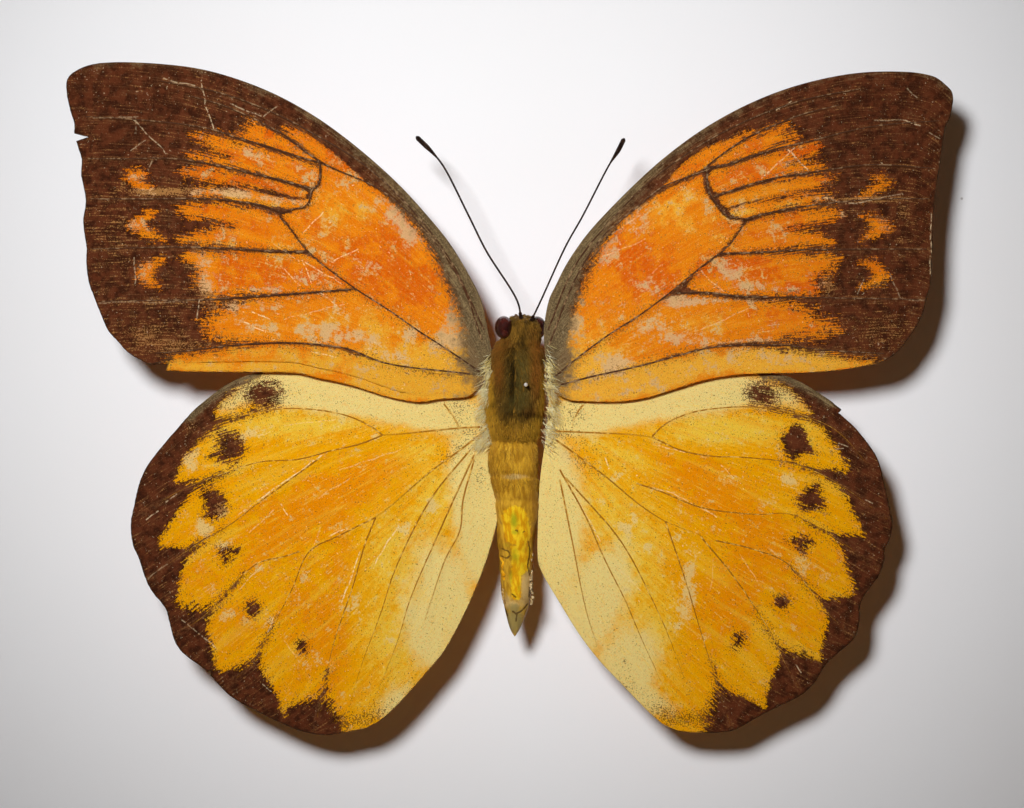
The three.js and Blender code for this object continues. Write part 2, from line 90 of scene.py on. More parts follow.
# %% Camera
SENSOR = 36.0
VIEW_WIDTH = PHOTO_SIZE[0] * MM_PER_PIXEL
scene = bpy.context.scene
camera = bpy.data.objects.new("camera", bpy.data.cameras.new("camera"))
camera.data.sensor_width = SENSOR
camera.data.lens = SENSOR * REACH / VIEW_WIDTH
camera.data.clip_start = 0.01
camera.location = (0, (CARD_Y - WING_HEIGHT - REACH) * MM, CENTRE_Z * MM)
camera.rotation_euler = (math.pi / 2, 0, 0)
scene.collection.objects.link(camera)
scene.camera = camera
scene.view_settings.view_transform = "Standard"
print("lens", round(camera.data.lens, 1), "mm")

# %% [markdown]
# The shadows on the card say where the light was: they fall to the right and down by the same amount on
# both sides, so the lamp stood beside the camera and as far away, up and to the left. The picture is
# brightest a little above the middle, so most of that light is a narrow pool. It is kept out of mirror
# reflections, as a polariser would do for picture glass, and a weaker far lamp gives the glints instead.
# The other lamps stand behind the frame's face, so they light its sides and back but not the card. The
# world itself is a weak warm glow, which is what keeps the shadows on the card brown instead of black.

# %% Lamps and world
KEY_PLACE = Vector((-78, CARD_Y - WING_HEIGHT - REACH, CENTRE_Z + 103)) * MM
KEY_SIZE = 0.074
POOL_MIDDLE = flat((465, 235))[0]
POOL_RADIUS = 0.103
FRAME_MIDDLE = Vector((0, 0, CENTRE_Z * MM))
WORLD_COLOUR = (1.0, 0.62, 0.30, 1)
WORLD_STRENGTH = 0.084


def lamp(name, kind, where, watts, target=FRAME_MIDDLE, mirrored=True, **settings):
    light = bpy.data.lights.new(name, kind)
    light.energy = watts
    for setting, value in settings.items():
        setattr(light, setting, value)
    holder = bpy.data.objects.new(name, light)
    holder.location = where
    holder.rotation_euler = (where - target).to_track_quat("Z", "Y").to_euler()
    holder.visible_camera = False
    holder.visible_glossy = mirrored
    holder.visible_transmission = mirrored
    scene.collection.objects.link(holder)


def soft_lamp(name, towards, distance, size, watts):
    """A round lamp that looks at the middle of the frame from a direction."""
    where = FRAME_MIDDLE + Vector(towards).normalized() * distance
    lamp(name, "AREA", where, watts, shape="DISK", size=size)


pool_target = Vector((POOL_MIDDLE[0], CARD_Y, CENTRE_Z + POOL_MIDDLE[1])) * MM
pool_angle = 2 * math.atan(POOL_RADIUS / (KEY_PLACE - pool_target).length)
lamp("pool", "SPOT", KEY_PLACE, 6.4, pool_target, False, spot_blend=1.0, spot_size=pool_angle,
     shadow_soft_size=KEY_SIZE / 2)
lamp("key", "AREA", KEY_PLACE, 0.5, FRAME_MIDDLE, False, shape="DISK", size=KEY_SIZE)
soft_lamp("glint", (-0.19, -1.0, 0.26), 1.5, 0.06, 0.3)
soft_lamp("back_left", (-0.9, 0.9, 0.7), 1.2, 0.5, 8)
soft_lamp("back_right", (0.9, 1.1, 0.5), 1.2, 0.5, 6)
soft_lamp("above", (0.1, 0.6, 1.0), 1.2, 0.4, 5)
soft_lamp("side_left", (-1.0, 0.5, 0.35), 1.2, 0.4, 4)
soft_lamp("side_right", (1.0, 0.5, 0.35), 1.2, 0.4, 4)

world = bpy.data.worlds.new("studio")
world.use_nodes = True
glow = world.node_tree.nodes["Background"]
glow.inputs["Color"].default_value = WORLD_COLOUR
glow.inputs["Strength"].default_value = WORLD_STRENGTH
world.cycles_visibility.glossy = False
world.cycles_visibility.transmission = False
scene.world = world
print(len(bpy.data.lights), "lamps")

# %% [markdown]
# A finish is a small graph of nodes. This helper keeps the graphs readable: each method adds a node or two
# and gives back the socket, and a plain number goes straight on the socket that wants it. Most finishes are
# a base colour with tints laid over it, each where some value rises, so that has a method of its own.

# %% The finish helper
def shade(red, green, blue):
    """A colour given as it looks on a screen, from 0 to 255, as the linear colour that a shader wants."""
    channels = [c / 255 for c in (red, green, blue)]
    return tuple(c / 12.92 if c <= 0.04045 else ((c + 0.055) / 1.055) ** 2.4 for c in channels) + (1.0,)


class Finish:
    """A material, built one node at a time."""

    def __init__(self, name):
        self.material = bpy.data.materials.new(name)
        self.material.use_nodes = True
        self.tree = self.material.node_tree
        self.tree.nodes.clear()
        self.here = self.add("ShaderNodeTexCoord").outputs["Object"]

    def add(self, kind, inputs=None, **settings):
        node = self.tree.nodes.new(kind)
        for name, value in settings.items():
            setattr(node, name, value)
        for key, value in (inputs or {}).items():
            if isinstance(value, bpy.types.NodeSocket):
                self.tree.links.new(value, node.inputs[key])
            else:
                node.inputs[key].default_value = value
        return node

    def told(self, name, output="Fac"):
        """What a mesh attribute says."""
        return self.add("ShaderNodeAttribute", attribute_name=name).outputs[output]

    def stretched(self, scale, at=None):
        inputs = {"Vector": at or self.here, "Scale": scale}
        return self.add("ShaderNodeMapping", inputs).outputs["Vector"]

    def noise(self, per_mm, detail=2.0, rough=0.5, at=None, swirl=0.0):
        """Cloudy noise with about that many lumps to the millimetre."""
        inputs = {"Vector": at or self.here, "Scale": per_mm / MM, "Detail": detail, "Roughness": rough,
                  "Distortion": swirl}
        return self.add("ShaderNodeTexNoise", inputs).outputs["Fac"]

    def cells(self, per_mm, at=None):
        """The distance to the nearest of many scattered points."""
        inputs = {"Vector": at or self.here, "Scale": per_mm / MM}
        return self.add("ShaderNodeTexVoronoi", inputs).outputs["Distance"]

    def maths(self, operation, a, b=0.0, c=0.0):
        return self.add("ShaderNodeMath", {0: a, 1: b, 2: c}, operation=operation).outputs[0]

    def times(self, a, b, plus=0.0):
        return self.maths("MULTIPLY_ADD", a, b, plus)

    def space(self, operation, inputs, output="Vector"):
        """Arithmetic on vectors."""
        return self.add("ShaderNodeVectorMath", inputs, operation=operation).outputs[output]

    def rise(self, value, low, high, start=0.0, end=1.0):
        """A smooth step: start below low, end above high."""
        inputs = {"Value": value, "From Min": low, "From Max": high, "To Min": start, "To Max": end}
        return self.add("ShaderNodeMapRange", inputs, interpolation_type="SMOOTHSTEP").outputs["Result"]

    def blend(self, amount, under, over):
        """Colour over laid on colour under by an amount from 0 to 1."""
        node = self.add("ShaderNodeMix", {0: amount, 6: under, 7: over}, data_type="RGBA")
        return node.outputs[2]

    def lay(self, colour, tint, value, low, high, most=1.0):
        """A tint laid on a colour where a value rises from low to high."""
        return self.blend(self.rise(value, low, high, 0, most), colour, tint)

    def relief(self, height, depth_mm, strength=1.0, under=None):
        inputs = {"Height": height, "Distance": depth_mm * MM, "Strength": strength}
        if under is not None:
            inputs["Normal"] = under
        return self.add("ShaderNodeBump", inputs).outputs["Normal"]

    def surface(self, colour, roughness, normal=None, **extra):
        inputs = {"Base Color": colour, "Roughness": roughness}
        if normal is not None:
            inputs["Normal"] = normal
        inputs.update({key.replace("_", " "): value for key, value in extra.items()})
        return self.add("ShaderNodeBsdfPrincipled", inputs).outputs["BSDF"]

    def done(self, shader):
        self.add("ShaderNodeOutputMaterial", {"Surface": shader})
        return self.material


# %% [markdown]
# Most of the frame's small parts have the right shape already and only want softer edges. A real edge is
# never perfectly sharp, and the thin line of light along it is what makes a part look solid. The copy of a
# node is merged and its flat faces joined first, so that the bevel sees the true edges.

# %% Pieces, and refined copies of the plain nodes
def give(piece, slot, *stands_for, rides="root"):
    """Puts a finished piece on the model."""
    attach(piece, rides)
    if stands_for:
        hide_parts(*stands_for)
    print(piece.name, len(piece.data.polygons), "faces")
    return piece


def new_piece(name, bm, *materials, smooth_below=35):
    """A mesh object from a bmesh, with its faces smoothed where they meet at less than an angle."""
    mesh = bpy.data.meshes.new(name)
    bm.to_mesh(mesh)
    bm.free()
    for material in materials:
        mesh.materials.append(material)
    if smooth_below:
        mesh.shade_smooth()
        mesh.set_sharp_from_angle(angle=math.radians(smooth_below))
    piece = bpy.data.objects.new(name, mesh)
    scene.collection.objects.link(piece)
    return piece


def soften(bm, width_mm, least_angle=30, segments=2):
    """Bevels the sharp edges of a closed shape."""
    least = math.radians(least_angle)
    sharp = [e for e in bm.edges if len(e.link_faces) == 2 and e.calc_face_angle() > least]
    bmesh.ops.bevel(bm, geom=sharp, offset=width_mm * MM, offset_type="OFFSET", segments=segments,
                    profile=0.5, affect="EDGES", clamp_overlap=True, material=-1)


def refined(node, slot, material, width_mm, name=None):
    """A copy of a node with softened edges, that stands for it."""
    bm = bmesh.new()
    bm.from_mesh(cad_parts[node].data)
    bmesh.ops.remove_doubles(bm, verts=bm.verts, dist=0.002 * MM)
    bmesh.ops.dissolve_limit(bm, angle_limit=math.radians(1), verts=bm.verts, edges=bm.edges)
    soften(bm, width_mm)
    return give(new_piece(name or node + "_finished", bm, material, smooth_below=15), slot, node)


# %% [markdown]
# The rails are stained hardwood. Grain runs along a rail, so the noise is drawn out along it, and on the
# two upright rails the same pattern runs up instead of across. Fine dark pores, broad bands of growth and
# the streaks between them are three sizes of the same idea.

# %% Wood finish
WOOD_DARK = shade(62, 36, 20)
WOOD_WARM = shade(118, 72, 40)
WOOD_LIGHT = shade(146, 96, 56)


def wood(name, upright):
    finish = Finish(name)

    def drawn_out(share):
        """The place in the wood, squeezed along the grain to this share, so that a pattern is drawn out."""
        return finish.stretched((1, 1, share) if upright else (share, 1, 1))

    lie = drawn_out(0.09)
    bands = finish.noise(0.35, 3, 0.55, lie, 0.6)
    streaks = finish.noise(2.2, 4, 0.6, lie)
    pits = finish.rise(finish.noise(7.0, 2, 0.5, drawn_out(0.05)), 0.60, 0.68)
    colour = finish.lay(WOOD_DARK, WOOD_WARM, bands, 0.35, 0.65)
    colour = finish.lay(colour, WOOD_LIGHT, streaks, 0.45, 0.72, 0.55)
    colour = finish.blend(finish.times(pits, 0.55), colour, WOOD_DARK)
    roughness = finish.rise(streaks, 0.3, 0.7, 0.36, 0.52)
    normal = finish.relief(pits, -0.05, 0.5, finish.relief(streaks, 0.04, 0.4))
    return finish.done(finish.surface(colour, roughness, normal, Coat_Weight=0.25, Coat_Roughness=0.3))


wood_across = wood("wood_across", False)
wood_upright = wood("wood_upright", True)

# %% [markdown]
# A rail is one moulded section pushed along its length and mitred at both ends. The section is drawn as an
# outline, filled and extruded; the mitres are two slanting cuts, capped; and only then are the edges
# broken. Glued mitres leave a hair line at each corner, which the gap between two rails gives for nothing.

# %% Rails
OUTER_LOW, OUTER_HIGH = (corner / MM for corner in (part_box("rail_left")[0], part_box("rail_right")[1]))
FACE_WIDTH = 12.0
WALL = 8.0
LIP_THICKNESS = 4.5
ROUND_OVER = 2.5
SIGHT_BEVEL = 1.5
MITRE_GAP = 0.06
ARC_STEPS = 8
FRONT_Y = OUTER_LOW.y
DEPTH = OUTER_HIGH.y - OUTER_LOW.y
WIDTH = OUTER_HIGH.x - OUTER_LOW.x
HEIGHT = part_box("rail_top")[1].z / MM


def rail_outline():
    """The section as depth from the face and distance in from the outer edge."""
    outline = [(DEPTH, 0), (DEPTH, WALL), (LIP_THICKNESS, WALL), (LIP_THICKNESS, FACE_WIDTH),
               (SIGHT_BEVEL, FACE_WIDTH), (0, FACE_WIDTH - SIGHT_BEVEL)]
    for step in range(ARC_STEPS + 1):
        turn = math.pi / 2 * step / ARC_STEPS
        outline.append((ROUND_OVER * (1 - math.cos(turn)), ROUND_OVER * (1 - math.sin(turn))))
    return outline


def rail(name, length, material, quarter_turns, across):
    bm = bmesh.new()
    start = [bm.verts.new((-length / 2 * MM, d * MM, a * MM)) for d, a in rail_outline()]
    section = bm.faces.new(start)
    pushed = bmesh.ops.extrude_face_region(bm, geom=[section])
    moved = [v for v in pushed["geom"] if isinstance(v, bmesh.types.BMVert)]
    bmesh.ops.translate(bm, verts=moved, vec=(length * MM, 0, 0))
    for end in (-1, 1):
        geom = bm.verts[:] + bm.edges[:] + bm.faces[:]
        corner = (end * (length / 2 - MITRE_GAP) * MM, 0, 0)
        cut = bmesh.ops.bisect_plane(bm, geom=geom, plane_co=corner, plane_no=(end, 0, 1), clear_outer=True)
        edges = [e for e in cut["geom_cut"] if isinstance(e, bmesh.types.BMEdge)]
        bmesh.ops.edgenet_fill(bm, edges=edges)
    bmesh.ops.recalc_face_normals(bm, faces=bm.faces)
    soften(bm, 0.25)
    up = Matrix.Translation((0, FRONT_Y * MM, -across / 2 * MM))
    turn = Matrix.Rotation(quarter_turns * math.pi / 2, 4, "Y")
    bm.transform(Matrix.Translation((0, 0, CENTRE_Z * MM)) @ turn @ up)
    piece = new_piece(name + "_wood", bm, material)
    piece.modifiers.new("flat_faces", "WEIGHTED_NORMAL").keep_sharp = True
    return give(piece, "frame_wood", name)


rail("rail_bottom", WIDTH, wood_across, 0, HEIGHT)
rail("rail_left", HEIGHT, wood_upright, 1, WIDTH)
rail("rail_top", WIDTH, wood_across, 2, HEIGHT)
rail("rail_right", HEIGHT, wood_upright, 3, WIDTH)

# %% [markdown]
# Card, spacers and backing are all pressed fibre. White card has a soft tooth and a few specks in it.
# Hardboard is brown, with darker fibres and a woven print on its rough side. The spacers keep their bounce
# to themselves, because the photograph was lit without a box around the wings.

# %% Paper and board finishes
SPECK = shade(120, 108, 98)
BOARD_DARK, BOARD_PALE, BOARD_FLECK = shade(104, 74, 48), shade(150, 114, 80), shade(66, 44, 28)


def paper(name, colour, warm_colour, tooth):
    finish = Finish(name)
    cloud = finish.noise(0.03, 2)
    fibre = finish.noise(3.5, 4, 0.65)
    colour = finish.lay(colour, warm_colour, cloud, 0.3, 0.7, 0.6)
    colour = finish.lay(colour, SPECK, finish.cells(0.045), 0.010, 0.006, 0.5)
    return finish.done(finish.surface(colour, 0.9, finish.relief(fibre, tooth), Specular_IOR_Level=0.2))


def hardboard():
    finish = Finish("hardboard")
    fibre = finish.noise(1.4, 5, 0.7, finish.stretched((0.5, 1, 1)), 0.8)
    fleck = finish.cells(1.1, finish.stretched((0.4, 1, 1.3)))
    weave = finish.times(finish.noise(0.9, 1, at=finish.stretched((0.1, 1, 1))),
                         finish.noise(0.9, 1, at=finish.stretched((1, 1, 0.1))))
    colour = finish.lay(BOARD_DARK, BOARD_PALE, fibre, 0.3, 0.7)
    colour = finish.lay(colour, BOARD_FLECK, fleck, 0.18, 0.05, 0.5)
    normal = finish.relief(fibre, 0.08, 0.8, finish.relief(weave, 0.2, 0.6))
    return finish.done(finish.surface(colour, 0.85, normal, Specular_IOR_Level=0.25))


card_white = paper("card_white", shade(241, 242, 246), shade(239, 239, 242), 0.012)
spacer_paper = paper("spacer_paper", shade(233, 231, 226), shade(226, 223, 216), 0.02)
refined("mounting_card", "white_card", card_white, 0.15, "card")
refined("back_board", "hardboard", hardboard(), 0.2, "backing")
for side in ("bottom", "top", "left", "right"):
    strip = refined("spacer_" + side, "spacer_white", spacer_paper, 0.12)
    strip.visible_diffuse = False

# %% [markdown]
# The metal parts are stamped from sheet: steel points that hold the back in, and a toothed strip with two
# nails to hang it by. Brushed metal is fine noise stretched one way, with a few duller patches.

# %% Metal finishes and fittings
def metal(name, colour, dull_colour, roughness, metallic=1.0):
    finish = Finish(name)
    brushed = finish.noise(9, 2, at=finish.stretched((0.06, 1, 1)))
    tarnish = finish.noise(0.5, 4, 0.6)
    colour = finish.lay(colour, dull_colour, tarnish, 0.5, 0.7, 0.8)
    rough = finish.times(brushed, 0.2, roughness)
    normal = finish.relief(brushed, 0.01, 0.5)
    return finish.done(finish.surface(colour, rough, normal, Metallic=metallic))


steel = metal("steel", shade(190, 190, 192), shade(140, 132, 124), 0.28)
brass = metal("brass", shade(206, 172, 104), shade(140, 108, 62), 0.26)
for number in range(1, 7):
    refined(f"steel_point_{number}", "steel", steel, 0.08)
refined("hanger", "hanger_plate", brass, 0.1)
for side in ("left", "right"):
    refined("hanger_nail_" + side, "steel", steel, 0.12)

# %% [markdown]
# Picture glass is a flat clear pane. It throws no shadow of its own here, so that the lamps light the card
# through it directly, which is both quicker and truer than tracing light through two flat faces.

# %% Glass
def clear_glass():
    finish = Finish("clear_glass")
    surface = finish.add("ShaderNodeBsdfPrincipled", {
        "Base Color": (0.985, 0.995, 0.99, 1), "Roughness": 0.0, "IOR": 1.45, "Transmission Weight": 1.0,
    })
    return finish.done(surface.outputs["BSDF"])


pane = refined("glass", "glass", clear_glass(), 0.2, "pane")
pane.visible_shadow = False
pane.visible_diffuse = False

# %% [markdown]
# A wing is a thin skin stretched between a stiff leading edge, a scalloped outer margin and a soft rear
# edge. All three are drawn as smooth curves through a few places read off the photograph. A sharp place,
# such as a nick, ends one curve and starts the next.

# %% Smooth lines
SAMPLES = 12


def smooth(points):
    """Many places along a centripetal spline that passes through all the given ones."""
    p = np.array(points, float)
    if len(p) == 2:
        return np.linspace(p[0], p[1], SAMPLES)
    p = np.vstack([2 * p[0] - p[1], p, 2 * p[-1] - p[-2]])
    gap = np.maximum(np.linalg.norm(np.diff(p, axis=0), axis=1), 1e-9)[:, None] ** 0.5
    before, middle, after = gap[:-2], gap[1:-1], gap[2:]
    a, b, c, d = p[:-3], p[1:-2], p[2:-1], p[3:]
    leave = ((b - a) / before - (c - a) / (before + middle) + (c - b) / middle) * middle
    arrive = ((c - b) / middle - (d - b) / (middle + after) + (d - c) / after) * middle
    k = np.linspace(0, 1, SAMPLES, endpoint=False)[:, None, None]
    curve = (b * (2 * k**3 - 3 * k**2 + 1) + leave * (k**3 - 2 * k**2 + k)
             + c * (3 * k**2 - 2 * k**3) + arrive * (k**3 - k**2))
    return np.vstack([curve.transpose(1, 0, 2).reshape(-1, p.shape[1]), c[-1:]])


def lengths(line):
    """How far along a line each of its places lies."""
    return np.concatenate([[0], np.cumsum(np.linalg.norm(np.diff(line, axis=0), axis=1))])


def along(line, shares):
    """Places at the given shares of a line's length."""
    run = lengths(line)
    return np.stack([np.interp(np.asarray(shares) * run[-1], run, column) for column in line.T], 1)


def margin(runs, spacing):
    """A margin of several smooth runs, sampled evenly but never past a corner, and each place's share."""
    places = []
    for run in runs:
        line = smooth(flat(run))
        steps = max(2, round(lengths(line)[-1] / spacing))
        places.append(along(line, np.linspace(0, 1, steps + 1))[:-1])
    places = np.vstack(places + [flat(runs[-1][-1])])
    run = lengths(places)
    return places, run / run[-1]


# %% [markdown]
# Colour on a wing is laid down by shapes, not painted by hand: each mark is an outline, and every place on
# the wing knows how far inside or outside that outline it lies. The shader turns that distance into an
# edge, and frays it with noise, because a real edge is made of single dark scales among bright ones.

# %% Distances to outlines, lines and soft spots
def inside(spots, outline):
    """Millimetres inside a closed outline, negative outside it."""
    edge = flat(outline)
    start, step = edge, np.roll(edge, -1, 0) - edge
    away = spots[:, None] - start[None]
    share = np.clip((away * step).sum(2) / np.maximum((step * step).sum(1), 1e-9), 0, 1)
    near = np.linalg.norm(away - share[..., None] * step, axis=2).min(1)
    low = start[:, 1] <= spots[:, None, 1]
    high = start[:, 1] + step[:, 1] <= spots[:, None, 1]
    side = step[:, 0] * away[..., 1] - step[:, 1] * away[..., 0]
    turns = (low & ~high & (side > 0)).sum(1) - (~low & high & (side < 0)).sum(1)
    return np.where(turns != 0, near, -near)


def inside_any(spots, outlines):
    return np.max([inside(spots, outline) for outline in outlines], axis=0)


def near_lines(spots, lines):
    """Millimetres to the nearest of some lines."""
    best = np.full(len(spots), 99.0)
    for line in lines:
        path = smooth(flat(line))[::3]
        for start, end in zip(path[:-1], path[1:]):
            step = end - start
            share = np.clip((spots - start) @ step / max(step @ step, 1e-9), 0, 1)
            best = np.minimum(best, np.linalg.norm(spots - start - share[:, None] * step, axis=1))
    return best


def patches(spots, rows):
    """Soft ovals: a row is a centre and two radii in pixels, a strength, and degrees of lean if it leans."""
    total = np.zeros(len(spots))
    for x, y, wide, tall, strength, *lean in rows:
        away = spots - flat((x, y))
        turn = math.radians(sum(lean))
        u = away[:, 0] * math.cos(turn) + away[:, 1] * math.sin(turn)
        v = away[:, 1] * math.cos(turn) - away[:, 0] * math.sin(turn)
        total += strength * np.exp(-((u / wide) ** 2 + (v / tall) ** 2) / MM_PER_PIXEL**2)
    return total


# %% [markdown]
# Here are the four wings' edges. The front edge runs from the body to the tip, the outer margin from the
# tip round to the rear corner, and the rear edge from the body to the same corner. The hidden parts of the
# hindwings' front edges are continued under the forewings.

# %% Wing outlines
FORE_LEFT = {
    "front": [
        (492, 352), (488, 333), (481, 300), (470, 277), (450, 244), (430, 219), (400, 186), (360, 150),
        (320, 120), (280, 97), (240, 80.5), (200, 69.5), (160, 64.5), (120, 62.8), (100, 63.7),
    ],
    "outer": [
        [
            (100, 63.7), (90, 65.5), (80, 69.5), (72, 74.5), (68, 80), (67, 85), (68.5, 100), (72, 114),
            (75, 124), (75, 134),
        ],
        [(75, 134), (89, 137.5)],
        [(89, 137.5), (77, 141.5)],
        [
            (77, 141.5), (80.5, 153), (82.5, 160), (82, 175), (86.5, 200), (84, 222), (87.5, 250), (87, 262),
            (89.5, 282), (94, 295), (99, 308), (105, 323), (109, 331), (118, 341), (128, 352), (140, 359.5),
            (150, 364), (158, 363), (168, 359), (172, 356.5),
        ],
        [(172, 356.5), (169, 363), (166.5, 370.5)],
    ],
    "back": [
        (480, 386), (470, 395.5), (440, 399), (420, 402), (400, 399.5), (380, 394.5), (360, 388),
        (340, 382.5), (320, 378.5), (300, 373.5), (285, 372.5), (240, 372), (190, 371.5), (166.5, 370.5),
    ],
}
FORE_RIGHT = {
    "front": [
        (545, 352), (544, 330), (549, 300), (556, 285), (565, 267), (575, 251), (590, 231), (620, 199),
        (660, 161.5), (700, 131.5), (740, 108.5), (780, 91.5), (820, 80), (860, 73.3), (900, 72.3),
        (920, 74), (935, 78), (945, 85.5), (951, 92), (952.5, 98),
    ],
    "outer": [
        [
            (952.5, 98), (952, 104), (949.5, 117), (944.5, 128), (943, 138), (939, 165), (934, 200),
            (932, 230), (931, 262), (930, 283), (926, 298), (922.5, 312), (915, 328), (906.5, 340),
            (898, 351), (885, 360), (875, 364),
        ],
    ],
    "back": [
        (549, 386), (556, 393), (570, 400), (585, 401), (620, 401.5), (645, 398), (675, 389), (705, 380),
        (735, 375), (765, 373.5), (800, 373), (840, 370), (875, 364),
    ],
}
HIND_LEFT = {
    "front": [
        (486, 392), (440, 376), (380, 364), (320, 362), (285, 366), (262, 371.5), (240, 378), (220, 389),
        (200, 405), (190, 415),
    ],
    "outer": [
        [
            (190, 415), (170, 437.5), (150, 462.5), (145, 471), (140, 483), (134, 509), (131.5, 522),
            (131.8, 534), (134, 546), (139, 557), (147, 580.5), (154, 593), (166, 608), (169, 617),
            (175, 640), (181, 650), (190, 658), (200, 665), (208, 671),
        ],
        [(208, 671), (211, 670), (211, 675)],
        [
            (211, 675), (220, 685), (232, 696.5), (256, 710), (285, 724), (300, 730), (315, 733.5),
            (330, 734.5), (350, 731), (365, 728),
        ],
    ],
    "back": [
        (492, 425), (495, 465), (497, 500), (497, 520), (489, 552), (479, 580), (466, 610), (450, 641),
        (441, 655), (430, 668), (410, 691), (392, 710), (380, 720), (365, 728),
    ],
}
HIND_RIGHT = {
    "front": [
        (549, 394), (600, 377), (660, 366), (700, 365), (740, 370), (760, 373), (780, 374.5), (800, 382),
        (820, 394), (830, 401),
    ],
    "outer": [
        [(830, 401), (841, 410)],
        [(841, 410), (838, 413)],
        [
            (838, 413), (852, 425), (860, 434), (874, 453), (879, 464), (884, 485), (891, 517), (892, 525),
            (889, 539), (884, 550), (884, 558), (878, 575), (866, 592), (861, 600), (859, 610), (859, 620),
            (854, 637), (843, 648), (836, 654), (824, 666), (814, 682), (800, 695), (780, 705), (762, 714),
            (748, 722), (732, 730), (705, 732.5), (680, 731),
        ],
    ],
    "back": [
        (547, 430), (540, 480), (538, 520), (538, 560), (541, 570), (560, 603), (580, 635), (600, 661),
        (620, 682), (640, 703), (662, 723), (680, 731),
    ],
}

# %% [markdown]
# Veins are hollow tubes that stiffen the skin. They fan out from the body and fork once, and on the
# forewing a cross vein closes the long cell in the middle. Each is a line that thins towards the margin.

# %% Veins
FORE_LEFT_VEINS = {
    "radius": [
        (482, 340), (462, 285), (430, 236), (400, 205), (380, 190), (360, 180), (340, 172), (321, 163),
    ],
    "radius_upper": [(321, 163), (300, 148), (285, 136), (270, 128), (255, 120), (225, 107), (190, 97)],
    "costal": [(484, 330), (450, 260), (410, 208), (365, 166), (320, 138), (270, 112), (220, 94), (160, 82)],
    "media_1": [(321, 164), (300, 158), (270, 148), (240, 139.5), (210, 130), (150, 122), (85, 118)],
    "cell_end": [
        (321, 165), (321, 178), (319, 186), (313, 191), (311, 200), (307, 207), (295, 210), (284, 213),
    ],
    "media_2": [(312, 190), (285, 182), (250, 174), (215, 166), (175, 160), (130, 160), (84, 160)],
    "media_3": [(284, 214), (265, 207), (250, 204), (210, 200), (150, 200), (87, 200)],
    "cubitus": [
        (480, 372), (448, 350), (420, 332), (390, 311), (350, 285), (309, 252.5), (290, 228), (280, 217),
    ],
    "cubitus_1": [(309, 253), (270, 252), (230, 249.5), (180, 248), (88, 250)],
    "cubitus_2": [(352, 290), (320, 292.5), (270, 296), (210, 300), (150, 301), (98, 302)],
    "anal": [
        (470, 374), (385, 363), (350, 349.5), (320, 345), (280, 343), (230, 346), (190, 351), (155, 353.5),
    ],
}
FORE_RIGHT_VEINS = {
    "radius": [
        (549, 345), (575, 280), (600, 240), (620, 221), (640, 205), (660, 189), (684, 179), (712, 169),
    ],
    "radius_upper": [(703, 170), (722, 155), (746, 139), (775, 126), (800, 116), (840, 106)],
    "costal": [
        (548, 330), (575, 266), (610, 222), (650, 182), (700, 146), (750, 120), (800, 102), (860, 90),
    ],
    "media_1": [(706, 169), (725, 166), (755, 156), (780, 149), (810, 142), (870, 128), (940, 122)],
    "cell_end": [(706, 170), (706.5, 185), (708, 193), (716, 206), (727, 217.5), (735, 219), (752, 220)],
    "media_2": [(713, 198), (730, 192), (766, 181), (795, 176), (830, 170.5), (870, 166), (936, 170)],
    "media_3": [(744, 220), (770, 213.5), (800, 208), (840, 203), (880, 200), (933, 200)],
    "cubitus": [
        (551, 380), (580, 356), (610, 334), (640, 315), (672, 291), (700, 268), (728, 246), (746, 220),
    ],
    "cubitus_1": [(720, 254.5), (765, 253), (800, 251), (860, 250), (931, 250)],
    "cubitus_2": [(676, 294), (705, 293), (740, 297), (800, 298), (925, 300)],
    "anal": [
        (560, 385), (590, 377), (640, 366), (680, 355), (715, 347), (780, 345.5), (820, 350), (885, 354),
    ],
}
HIND_LEFT_VEINS = {
    "humeral": [(444, 404), (452, 415), (460, 428)],
    "stem": [(482, 427), (460, 428), (430, 431), (400, 434), (383, 435)],
    "upper": [(383, 435), (372, 427), (345, 415), (300, 408.5), (265, 411), (230, 420), (195, 440)],
    "media_1": [
        (383, 435), (360, 444), (330, 451), (300, 459), (260, 462), (225, 473), (180, 491), (140, 515),
    ],
    "media_2": [(320, 458), (290, 480), (260, 502), (230, 525), (190, 549), (147, 580)],
    "media_3": [(300, 551), (285, 556), (260, 562), (240, 578), (205, 615), (175, 635)],
    "cubitus": [(478, 436), (460, 450), (430, 472), (400, 498), (388, 508), (376, 517)],
    "cubitus_1": [(376, 517), (340, 535), (310, 551), (292, 590), (265, 640), (250, 665), (225, 688)],
    "cubitus_2": [(376, 517), (365, 545), (355, 580), (345, 610), (335, 640), (322, 695), (315, 730)],
    "second_anal": [(470, 450), (430, 500), (395, 570), (382, 610), (360, 670), (345, 725)],
    "inner": [(474, 455), (440, 530), (410, 600), (398, 640), (370, 710)],
    "fold": [(474, 460), (463, 500), (460, 530), (445, 560), (425, 620)],
}
